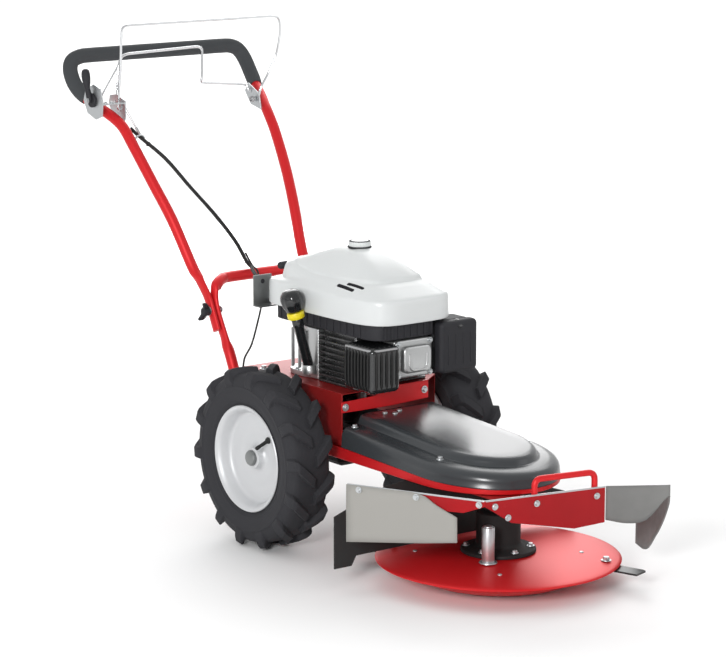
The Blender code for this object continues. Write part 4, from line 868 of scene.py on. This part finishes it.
def muffler():
    """Silencer behind a ribbed guard, with a bright steel strip along the top edge as a painted highlight."""
    low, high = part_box("muffler")
    rear, front = AXLE.y - high.y, AXLE.y - low.y
    body = block("muffler_box", (rear, low.x + 0.004, low.z), (front - 0.004, high.x, high.z), 0.012, 5)
    fit(body, "gloss_black", "chassis", "muffler")
    shape = bmesh.new()
    count = 8
    for k in range(count):
        f = rear + 0.014 + (front - rear - 0.03) * k / (count - 1)
        line = [at(f, low.x + 0.014, high.z - 0.001), at(f, low.x + 0.0035, high.z - 0.011),
                at(f, low.x + 0.002, high.z - 0.024), at(f, low.x + 0.002, low.z + 0.016),
                at(f, low.x + 0.012, low.z + 0.002)]
        loft(shape, sweep_rings(bent(line, 0.008, 4), 0.0026, 8))
    for k in range(5):
        l = low.x + 0.016 + (high.x - low.x - 0.028) * k / 4
        line = [at(front - 0.014, l, high.z - 0.001), at(front - 0.0045, l, high.z - 0.011),
                at(front - 0.0026, l, high.z - 0.024), at(front - 0.0026, l, low.z + 0.016),
                at(front - 0.012, l, low.z + 0.002)]
        loft(shape, sweep_rings(bent(line, 0.008, 4), 0.0026, 8))
    fit(made("muffler_ribs", shape, 60), "cast_iron", "chassis")
    # A bright steel rod round the guard's top edge: a painted highlight.
    top = [at(rear + 0.01, low.x + 0.0065, high.z - 0.0065),
           at(front - 0.016, low.x + 0.0065, high.z - 0.0065),
           at(front - 0.007, low.x + 0.016, high.z - 0.0065),
           at(front - 0.007, high.x - 0.01, high.z - 0.0065)]
    fit(sweep("muffler_highlight_strip", bent(top, 0.01, 6), 0.0032, 10), "steel", "chassis")


def air_cleaner():
    """Filter box with a separate lid, its clip, and the hooded intake behind it."""
    low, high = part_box("air_cleaner")
    rear, front = AXLE.y - high.y, AXLE.y - low.y
    fit(block("air_box", (rear, low.x, low.z), (front - 0.03, high.x, high.z - 0.002), 0.01, 4),
        "black_plastic",
        "chassis", "air_cleaner")
    fit(block("air_lid", (front - 0.032, low.x + 0.001, low.z + 0.001), (front, high.x - 0.001, high.z),
              0.011, 5),
        "black_plastic", "chassis")
    shape = bmesh.new()
    for k in range(4):
        l = low.x + 0.022 + (high.x - low.x - 0.044) * k / 3
        loft(shape, sweep_rings([at(front - 0.001, l, low.z + 0.018), at(front - 0.0004, l, low.z + 0.022),
                                 at(front - 0.0004, l, high.z - 0.03), at(front - 0.001, l, high.z - 0.026)],
                                [0.0006, 0.0016, 0.0016, 0.0006], 8))
    fit(made("air_lid_ribs", shape, 60), "black_plastic", "chassis")
    fit(lathe("air_lid_knob", [(0, 0), (0.011, 0), (0.012, 0.002), (0.0115, 0.006), (0.009, 0.008),
                               (0, 0.0085)],
              at(front - 0.0105, (low.x + high.x) / 2, high.z - 0.0105), (UP + AHEAD).normalized(), 28),
        "gloss_black", "chassis")
    hood = [at(rear - 0.004, low.x + 0.004, 0.47), at(rear + 0.01, low.x + 0.006, 0.48),
            at(rear + 0.03, low.x + 0.014, 0.48)]
    fit(sweep("intake_elbow", curve_through(hood, 6), 0.012, 20), "black_plastic", "chassis")


COWL_TOP = 0.6455
COWL_MIDDLE, COWL_HALF = 0.03, 0.1235
COWL_FRONT, COWL_REAR = (0.221, 4.4), (0.2, 6.0)    # reach from its middle, and how square that end is


def cowl_ring(inset, share, share_rear, low=None, steps=160):
    """World points round the cowl. The ring draws in by a share and climbs, front and rear by their own."""
    points = []
    for k in range(steps):
        turn = 2 * pi * (k + 0.5) / steps
        reach, power = COWL_FRONT if cos(turn) > 0 else COWL_REAR
        forward = COWL_MIDDLE + copysign(reach * abs(cos(turn)) ** (2 / power), cos(turn)) * (1 - inset)
        left = copysign(COWL_HALF * abs(sin(turn)) ** (2 / power), sin(turn)) * (1 - inset)
        back = min(1.0, max(0.0, -forward / 0.15))
        back = back * back * (3 - 2 * back)
        up = 0.56 + (COWL_TOP - 0.56) * (share * (1 - back) + share_rear * back)
        points.append(at(forward, left, low or up))
    return points


def top_cover():
    """Silver cowl: upright skirt, a shoulder, a low rear shelf, a raised panel and a dome."""
    levels = [  # drawn in by, climb in front, climb at the rear, height of a level ring
        (0.022, 0, 0, 0.512), (0.004, 0, 0, 0.5075), (0.0, 0, 0, 0.5085), (-0.002, 0, 0, 0.511),
              (0.0, 0, 0, 0.525),
        (0.001, -0.14, -0.14), (0.003, -0.08, -0.08), (0.008, -0.03, -0.03), (0.016, -0.002, -0.004),
        (0.03, 0.02, 0.015), (0.055, 0.05, 0.035), (0.09, 0.09, 0.048), (0.13, 0.138, 0.055),
              (0.15, 0.16, 0.08),
        (0.165, 0.178, 0.22), (0.185, 0.2, 0.4), (0.205, 0.225, 0.485), (0.24, 0.262, 0.54),
              (0.28, 0.3, 0.59),
        (0.295, 0.322, 0.605), (0.303, 0.362, 0.622), (0.312, 0.402, 0.64), (0.33, 0.43, 0.66),
        (0.4, 0.53, 0.715), (0.5, 0.665, 0.8), (0.6, 0.78, 0.868), (0.69, 0.872, 0.925),
        (0.77, 0.945, 0.962), (0.83, 0.985, 0.988), (0.88, 1.0, 1.0),
    ]
    shape = bmesh.new()
    loft(shape, [cowl_ring(*level) for level in levels], cap_first=False)
    cowl = made("cowl_shell", shape, 50)
    cowl.data.materials.append(material("silver_plastic"))
    carved(cowl, slots())
    inside = [face.index for face in cowl.data.polygons if face.material_index]
    fit(cowl, "silver_plastic", "chassis", "top_cover")
    cowl.data.materials.append(material("black_plastic"))
    for index in inside:
        cowl.data.polygons[index].material_index = 1
    lining = bmesh.new()
    loft(lining, [cowl_ring(0.05, 0, 0, 0.5082, 64), cowl_ring(0.06, -0.06, -0.06, None, 64),
                  cowl_ring(0.16, 0.08, 0, None, 64), cowl_ring(0.215, 0.14, 0.38, None, 64),
                  cowl_ring(0.3, 0.2, 0.5, None, 64)])
    fit(made("cowl_lining", lining), "black_plastic", "chassis")
    well = [(0, -0.004), (0.024, -0.004), (0.0262, -0.001), (0.027, 0.0004), (0.0262, 0.0014),
            (0.0235, 0.001),
            (0, 0.0006)]
    fit(lathe("filler_ring", well, at(0.04, 0, 0.6455), UP, 64), "black_plastic", "chassis")
    fuel_cap()


def slots():
    """Cutters for the two vents in the cowl's right slope."""
    cutters = []
    for k, (f, l, half, lean) in enumerate(((0.12, -0.1005, 0.027, 2.0), (0.142, -0.09, 0.024, -3.0))):
        shape = bmesh.new()
        outline = arc((half, 0), 0.0034, -90, 90, 6) + arc((-half, 0), 0.0034, 90, 270, 6)
        c, d = cos(radians(lean)), -sin(radians(lean))
        loft(shape, [[at(f + a * c - b * d, l + a * d + b * c, up) for a, b in outline] for up in (0.56,
                                                                                                   0.64)])
        cutters.append(made(f"slot_cutter_{k}", shape))
        cutters[-1].data.materials.append(material("black_plastic"))
    return cutters


def carved(obj, cutters):
    """The object less its cutters, which are removed."""
    for tool in cutters:
        boolean = obj.modifiers.new("cut", "BOOLEAN")
        boolean.operation, boolean.material_mode = "DIFFERENCE", "TRANSFER"
        boolean.object = tool
    graph = bpy.context.evaluated_depsgraph_get()
    graph.update()
    mesh = bpy.data.meshes.new_from_object(obj.evaluated_get(graph))
    obj.modifiers.clear()
    obj.data = mesh
    mesh.shade_smooth()
    mesh.set_sharp_from_angle(angle=radians(40))
    for tool in cutters:
        bpy.data.objects.remove(tool, do_unlink=True)
    return obj


def ridged(centre, radius, up, grip=0.0, steps=96):
    """A level ring with every fourth point drawn in, for the fingers."""
    radii = [radius - 0.0009 * grip * (k % 4 == 0) for k in range(steps)]
    return [centre + Vector((r * cos(2 * pi * k / steps), r * sin(2 * pi * k / steps), up)) for k,
            r in enumerate(radii)]


def fuel_cap():
    """A ribbed silver rim with a dished top, and two black rings at its foot and top edge as painted shade in
    the grooves.
    """
    centre = at(0.04, 0, 0)
    shape = bmesh.new()
    rim_rings = [(0.0215, 0.647, 0), (0.0243, 0.6475, 0.5), (0.025, 0.649, 1), (0.025, 0.656, 1),
                 (0.0243, 0.6578, 0.6),
                 (0.0226, 0.6588, 0), (0.0212, 0.6584, 0)]
    loft(shape, [ridged(centre, *row) for row in rim_rings])
    fit(made("fuel_cap_rim", shape, 30), "silver_plastic", "filler_cap", "fuel_cap")
    top = [(0, 0.6572), (0.0196, 0.6572), (0.0192, 0.6596), (0.018, 0.66), (0.016, 0.6588), (0, 0.6586)]
    fit(lathe("fuel_cap_top", top, centre, UP, 64), "silver_plastic", "filler_cap")
    shape = bmesh.new()
    # Black rings where the rim meets the cowl and the top: painted shade in the grooves.
    turned(shape, [(0.02, 0.6455), (0.0255, 0.646), (0.0255, 0.6474), (0.02, 0.6474)], centre, UP, 64,
           closed=True)
    turned(shape, [(0.0194, 0.658), (0.024, 0.6578), (0.0236, 0.6594), (0.0196, 0.6598)], centre, UP, 64,
           closed=True)
    fit(made("fuel_cap_groove_shade", shape), "black_plastic", "filler_cap")


def starter():
    """Black pull handle in its recess, with the rope behind it."""
    rise = radians(19.3)
    pull = Vector((0, cos(rise), sin(rise)))
    centre = at(-0.174, -0.032, 0.577) + pull * 0.006
    line = [centre + LEFT * x for x in (-0.029, -0.0275, -0.023, -0.012, 0.0, 0.012, 0.023, 0.0275, 0.029)]
    radii = [0.0035, 0.007, 0.0088, 0.0086, 0.0092, 0.0086, 0.0088, 0.007, 0.0035]
    fit(sweep("starter_handle", line, radii, 24), "black_plastic", "starter_grip", "recoil_grip")
    shape = bmesh.new()
    turned(shape, [(0, -0.016), (0.0042, -0.016), (0.005, -0.012), (0.007, -0.004), (0, -0.004)], centre,
           pull, 24)
    loft(shape, sweep_rings([centre - pull * 0.15, centre - pull * 0.01], 0.0024, 10))
    fit(made("starter_rope", shape, 50), "black_rubber", "starter_grip")
    fit(lathe("rope_eye", [(0.0045, -0.002), (0.01, -0.002), (0.011, 0.0), (0.01, 0.002), (0.006, 0.0022),
                           (0.0045, 0.0)], at(-0.138, -0.032, 0.5644) + pull * 0.001, pull, 28, closed=True),
        "black_plastic", "chassis")


def dipstick():
    """Thick black filler tube, a yellow collar, and a big round cap with finger grips."""
    foot, ball = at(0.0035, -0.1145, 0.388), at(-0.0048, -0.1522, 0.5374)
    lean = (ball - foot).normalized()
    neck = foot + lean * 0.1108
    tube = [(0, -0.004), (0.0112, -0.004), (0.0115, 0.0), (0.0115, 0.09), (0.0128, 0.093), (0.0128, 0.1085),
            (0.0118, 0.11), (0, 0.11)]
    fit(lathe("dipstick_pipe", tube, foot, lean, 32), "gloss_black", "chassis", "dipstick_tube")
    collar = [(0.013, 0.0008), (0.018, 0.0008), (0.0192, 0.003), (0.0192, 0.012), (0.018, 0.015),
              (0.013, 0.016)]
    fit(lathe("dipstick_collar", collar, neck, lean, 40, closed=True), "yellow_plastic", "oil_dipstick")
    shape = bmesh.new()
    turn = lean.to_track_quat("Z", "Y").to_matrix()
    rings = []
    for radius, height, grip in ((0, 0.001, 0), (0.013, 0.0012, 0), (0.013, 0.016, 0), (0.0178, 0.0175, 0),
                                 (0.02, 0.0215, 0.3), (0.0232, 0.028, 1), (0.0256, 0.035, 1),
                                 (0.0265, 0.043, 1),
                                 (0.0255, 0.051, 0.8), (0.0225, 0.0575, 0.5), (0.0175, 0.063, 0.2),
                                 (0.011, 0.0658, 0), (0.0, 0.0668, 0)):
        steps = 80 if radius else 1
        ring = []
        for k in range(steps):
            wavy = radius - 0.0012 * grip * (0.5 + 0.5 * cos(10 * 2 * pi * k / 80))
            ring.append(neck + turn @ Vector((wavy * cos(2 * pi * k / steps), wavy * sin(2 * pi * k / steps),
                                              height)))
        rings.append(ring)
    loft(shape, rings)
    fit(made("dipstick_ball", shape, 60), "gloss_black", "oil_dipstick", "dipstick_cap")


def engine_bits():
    """Cable bracket with its clamps, and the carburettor between block and air cleaner."""
    keep("cable_bracket", "grey_steel", "chassis", 0.0008)
    shape = bmesh.new()
    for l in (-0.12, -0.1):
        hex_bolt(shape, at(-0.1766, l, 0.51), -AHEAD, 0.0045)
    fit(made("cable_bracket_bolts", shape, 20), "zinc", "chassis")
    fit(lathe("cable_ferrule", [(0, -0.018), (0.005, -0.018), (0.0062, -0.015), (0.0062, 0.004),
                                (0.0045, 0.006),
                                (0, 0.006)], at(-0.1785, -0.11, 0.55), AHEAD, 20),
        "black_plastic", "chassis")
    carb = block("carburettor", (0.1555, 0.057, 0.43), (0.1645, 0.098, 0.468), 0.003, 3)
    fit(carb, "aluminium", "chassis")


# ---------------------------------------------------------------- guard and flaps

GUARD_A, GUARD_B, GUARD_C = (0.4266, -0.3296), (0.7068, -0.1973), (0.764, 0.0746)
GUARD_D = (0.8345, 0.1815)
GUARD_TOP = 0.238


def outward(start, end):
    step = (end[0] - start[0], end[1] - start[1])
    reach = hypot(*step)
    return (step[1] / reach, -step[0] / reach)


def aside(points, direction, distance):
    return [(f + direction[0] * distance, l + direction[1] * distance) for f, l in points]


def upright_sheet(name, path, lows, highs, thickness, rows=6, ripple=None):
    """A standing sheet over (forward, left) points. ripple(i, share) moves it sideways."""
    shape = bmesh.new()
    grid = []
    for i, ((f, l), low, high) in enumerate(zip(path, lows, highs)):
        before, after = path[max(i - 1, 0)], path[min(i + 1, len(path) - 1)]
        n = outward(before, after)
        column = []
        for k in range(rows + 1):
            share = k / rows
            push = ripple(i / (len(path) - 1), share) if ripple else 0
            column.append(shape.verts.new(at(f + n[0] * push, l + n[1] * push, low + (high - low) * share)))
        grid.append(column)
    for one, other in zip(grid, grid[1:]):
        for k in range(rows):
            shape.faces.new((one[k], other[k], other[k + 1], one[k + 1]))
    obj = made(name, shape, 60)
    skin = obj.modifiers.new("sheet", "SOLIDIFY")
    skin.thickness, skin.offset, skin.use_even_offset = thickness, 0, True
    return obj


def denser(path, lows, highs, per=4):
    """More points along a path, on smooth curves through the given ones."""
    line = curve_through([Vector((f, l, low)) for (f, l), low in zip(path, lows)], per)
    tops = curve_through([Vector((f, l, high)) for (f, l), high in zip(path, highs)], per)
    return [(p.x, p.y) for p in line], [p.z for p in line], [p.z for p in tops]


def guard():
    """Bent steel strip with a folded top edge and its bolts, the arm behind it, and a carrying handle. Its red
    is darkened as painted shade, and a zinc rod along the top edge is a painted highlight.
    """
    # The guard plate's red is darkened as painted shade.
    keep("guard_plate", "shaded_guard_red", "chassis", 0.0008)
    away_a, away_b = outward(GUARD_A, GUARD_B), outward(GUARD_B, GUARD_C)
    edge = [at(*p, GUARD_TOP - 0.0012) for p in (GUARD_A, GUARD_B, GUARD_C)]
    # A zinc rod along the folded top edge: a painted highlight.
    fit(sweep("guard_edge_highlight", bent(edge, 0.004, 4), 0.0021, 10), "zinc", "chassis")
    keep("guard_arm", "dark_red_paint", "chassis", 0.0008)
    places = []
    for s, u in ((0.022, 0.224), (0.052, 0.198), (0.118, 0.22), (0.258, 0.22)):
        places.append(at(*aside([along(GUARD_B, GUARD_C, s)], away_b, 0.0017)[0], u))
    n = at(*away_b, 0) - at(0, 0, 0)
    bolts("guard_bolts", places, n, "chassis", 0.0045)
    n = at(*away_a, 0) - at(0, 0, 0)
    side = hypot(GUARD_B[0] - GUARD_A[0], GUARD_B[1] - GUARD_A[1])
    places = [at(*aside([along(GUARD_A, GUARD_B, s)], away_a, 0.0072)[0], 0.23) for s in (0.03, 0.16)]
    places.append(at(*aside([along(GUARD_A, GUARD_B, side - 0.012)], away_a, 0.0018)[0], 0.229))
    bolts("flap_bolts", places, n, "chassis", 0.0045)
    bolts("arm_bolts", [at(0.59, -0.09, 0.2116), at(0.59, -0.06, 0.2116)], UP, "chassis", 0.0055)
    foot, top = 0.205, 0.268
    ends = [aside([along(GUARD_B, GUARD_C, s)], away_b, -0.0085)[0] for s in (0.118, 0.258)]
    posts = [at(*ends[0], foot), at(*ends[0], top), at(*ends[1], top), at(*ends[1], foot)]
    fit(sweep("carry_handle", bent(posts, 0.016, 8), 0.0065, 20), "red_paint", "chassis", "guard_handle")


def flaps():
    """Grey rubber boards at both ends of the guard, the left one painted darker as shade, and the black apron
    behind the cutter.
    """
    away = outward(GUARD_A, GUARD_B)
    board = [(0.0, 0.116, 0.2375), (0.08, 0.125, 0.2375), (0.165, 0.134, 0.2365), (0.205, 0.139, 0.217),
             (0.25, 0.145, 0.197)]
    path = aside([along(GUARD_A, GUARD_B, s) for s, _, _ in board], away, 0.004)
    path, lows, highs = denser(path, [b[1] for b in board], [b[2] for b in board])
    right = upright_sheet("flap_right_board", path, lows, highs, 0.0036, 8,
                          lambda s, u: 0.0012 * sin(5 * s) * (1 - u))
    fit(right, "grey_rubber", "chassis", "flap_right")

    away = outward(GUARD_B, GUARD_C)
    reach = hypot(GUARD_C[0] - GUARD_B[0], GUARD_C[1] - GUARD_B[1])
    start = aside([along(GUARD_B, GUARD_C, reach + 0.0022)], away, 0.0005)[0]
    path = [along(start, GUARD_D, s) for s in (0.0, 0.045, 0.085)]
    path += [GUARD_D, (0.833, 0.19), (0.812, 0.206), (0.77, 0.232), (0.72, 0.26), (0.665, 0.288),
             (0.615, 0.305)]
    lows = [0.167, 0.159, 0.166, 0.212, 0.206, 0.18, 0.135, 0.09, 0.046, 0.046]
    highs = [0.238, 0.238, 0.238, 0.238, 0.237, 0.226, 0.205, 0.188, 0.176, 0.168]
    path, lows, highs = denser(path, lows, highs)
    left = upright_sheet("flap_left_board", path, lows, highs, 0.0036, 8)
    # The same grey rubber as the right flap, painted darker as shade.
    fit(left, "shaded_grey_rubber", "chassis", "flap_left")

    outline = [(-0.335, 0.16), (-0.335, 0.048), (-0.29, 0.048), (-0.278, 0.068), (0.278, 0.068),
               (0.29, 0.048),
               (0.335, 0.048), (0.335, 0.105), (0.2, 0.15), (0.11, 0.2112), (-0.11, 0.2112), (-0.2, 0.205)]
    shape = bmesh.new()
    loft(shape, [[at(f, l, u) for l, u in outline] for f in (0.3862, 0.3896)])
    apron = rounded_edges(made("apron_sheet", shape), 0.0006)
    fit(apron, "black_rubber", "chassis", "apron_rear")


# ---------------------------------------------------------------- cutter

def cutter():
    """Glossy disc with its drum, posts and hardware, the blades on their bolts, and the glide dish."""
    disc = [(0.0135, 0.0615), (0.1, 0.0605), (0.15, 0.0588), (0.2, 0.056), (0.24, 0.0524), (0.253, 0.0507),
            (0.2585, 0.0494), (0.26, 0.0478), (0.2596, 0.0464), (0.257, 0.0456), (0.24, 0.0478),
            (0.2, 0.0515),
            (0.1, 0.056), (0.0135, 0.057)]
    base = Vector((SPINDLE.x, SPINDLE.y, 0))
    fit(lathe("disc_plate", disc, base, UP, 160, closed=True), "red_paint", "rotor", "cutter_disc")
    drum = [(0.04, 0.148), (0.0455, 0.1465), (0.047, 0.144), (0.047, 0.083), (0.048, 0.0785), (0.052, 0.075),
            (0.058, 0.0722), (0.076, 0.0698), (0.079, 0.0685), (0.08, 0.0665), (0.08, 0.0622),
            (0.0135, 0.0622),
            (0.0135, 0.148)]
    fit(lathe("drum_casting", drum, base, UP, 96, closed=True), "cast_iron", "rotor", "drum")
    ring = [base + Vector((0.068 * cos(a), 0.068 * sin(a),
                           0.0712)) for a in (2 * pi * k / 6 + 0.35 for k in range(6))]
    bolts("drum_bolts", ring, UP, "rotor", 0.0055)
    shape = bmesh.new()
    for k in range(4):
        a = pi / 4 + pi / 2 * k + 0.1
        turned(shape, [(0, -0.001), (0.005, -0.001), (0.0046, 0.0014), (0.003, 0.0024), (0, 0.0028)],
              base + Vector((0.175 * cos(a), 0.175 * sin(a), 0.0574)), UP, 20)
    fit(made("disc_rivets", shape), "zinc", "rotor")
    for word in ("front", "rear"):
        node = "rotor_post_" + word
        low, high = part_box(node)
        foot = Vector(((low.x + high.x) / 2, (low.y + high.y) / 2, low.z))
        tall = high.z - low.z
        post = [(0, 0), (0.0132, 0), (0.0135, 0.0006), (0.0135, tall - 0.002), (0.0128, tall - 0.0006),
                (0.0115, tall), (0, tall)]
        fit(lathe(node + "_sleeve", post, foot, UP, 40), "zinc", "rotor", node)
        shape = bmesh.new()
        turned(shape, [(0.013, 0.0), (0.019, 0.0), (0.0195, 0.0006), (0.019, 0.0022), (0.013, 0.0022)], foot,
               UP, 32,
              closed=True)
        turned(shape, [(0, -0.001), (0.0105, -0.001), (0.0098, 0.0016), (0.006, 0.003), (0, 0.0034)],
               foot + UP * tall, UP, 32)
        fit(made(node + "_hardware", shape, 20), "zinc", "rotor")
    for letter in ("a", "b"):
        centre = middle("blade_bolt_" + letter)
        bolt = bmesh.new()
        hex_bolt(bolt, Vector((centre.x, centre.y, 0.0548)), UP, 0.0072)
        turned(bolt, [(0, 0.035), (0.0095, 0.035), (0.0118, 0.0362), (0.012, 0.0384), (0.0058, 0.0386),
                      (0.0058, 0.056),
                   (0, 0.056)], Vector((centre.x, centre.y, 0)), UP, 24)
        fit(made("blade_bolt_" + letter + "_head", bolt, 20), "steel", "rotor", "blade_bolt_" + letter)
        keep("blade_" + letter, "blade_steel", "swing_blade_" + letter, 0.0006)
    dish = [(0, 0.004), (0.0095, 0.004), (0.0105, 0.0046), (0.0105, 0.03), (0.0255, 0.03), (0.0268, 0.0285),
            (0.03, 0.005), (0.12, 0.004), (0.15, 0.0085), (0.17, 0.015), (0.185, 0.0232), (0.1962, 0.0306),
            (0.1985, 0.031), (0.2, 0.0296), (0.199, 0.028), (0.187, 0.02), (0.172, 0.0116), (0.15, 0.0045),
            (0.122, 0), (0, 0)]
    fit(lathe("glide_pan", dish, base, UP, 128), "red_paint", "dish", "glide_dish")
    keep("spindle_shaft", "steel", "rotor", 0.0005)


def inner_drive():
    """The parts that stay out of sight keep the frame's own solids, with their finishes."""
    nodes = frame["nodes"]
    looks = {"belt": "black_rubber", "crankshaft": "steel", "idler": "steel"}
    for name, obj in nodes.items():
        if obj.hide_render:
            continue
        look = next((value for key, value in looks.items() if key in name), "cast_iron")
        obj.data.materials.clear()
        obj.data.materials.append(material(look))


# ---------------------------------------------------------------- stage

def floor():
    shape = bmesh.new()
    bmesh.ops.create_grid(shape, x_segments=1, y_segments=1, size=200)
    ground = made("floor", shape)
    surface = bpy.data.materials.new("floor")
    surface.use_nodes = True
    tree = surface.node_tree
    shader = tree.nodes["Principled BSDF"]
    shader.inputs["Roughness"].default_value = 0.9
    coords = tree.nodes.new("ShaderNodeTexCoord").outputs["Object"]
    colour = mixed(tree, noise(tree, coords, 0.8), (0.9, 0.9, 0.9), (0.94, 0.94, 0.94))
    tree.links.new(colour, shader.inputs["Base Color"])
    ground.data.materials.append(surface)


def light(name, place, toward, size, power):
    data = bpy.data.lights.new(name, "AREA")
    data.shape, data.size, data.energy = "DISK", size, power
    obj = bpy.data.objects.new(name, data)
    obj.visible_camera = False
    bpy.context.scene.collection.objects.link(obj)
    obj.location = place
    obj.rotation_euler = (toward - Vector(place)).to_track_quat("-Z", "Y").to_euler()


def lights():
    world = bpy.data.worlds.new("world")
    bpy.context.scene.world = world
    world.use_nodes = True
    tree = world.node_tree
    facing = tree.nodes.new("ShaderNodeVectorMath")
    facing.operation = "DOT_PRODUCT"
    facing.inputs[1].default_value = (0.61, 0.79, 0.0)
    tree.links.new(tree.nodes.new("ShaderNodeTexCoord").outputs["Generated"], facing.inputs[0])
    glow = mapped(tree, facing.outputs["Value"], -0.4, 0.75, 0.6, 1.0)
    tree.nodes["Background"].inputs["Color"].default_value = (1.0, 1.0, 1.0, 1)
    tree.links.new(glow, tree.nodes["Background"].inputs["Strength"])
    target = Vector((0, 0, 0.4))
    light("key", (-3.4, -2.6, 1.6), target, 1.0, 104)
    light("fill", (2.6, -2.6, 2.0), target, 2.0, 8)
    light("back", (2.4, 3.3, 1.5), target, 2.8, 50)
    light("backdrop", (6.0, 7.6, 7.0), Vector((6.0, 7.6, 0)), 9.0, 560)
    bpy.context.scene.view_settings.view_transform = "Standard"


camera()
wheels()
handle()
bails()
controls()
cables()
belt_cover()
tray_and_chassis()
engine_block()
valve_cover()
muffler()
air_cleaner()
top_cover()
starter()
dipstick()
engine_bits()
guard()
flaps()
cutter()
inner_drive()
floor()
lights()
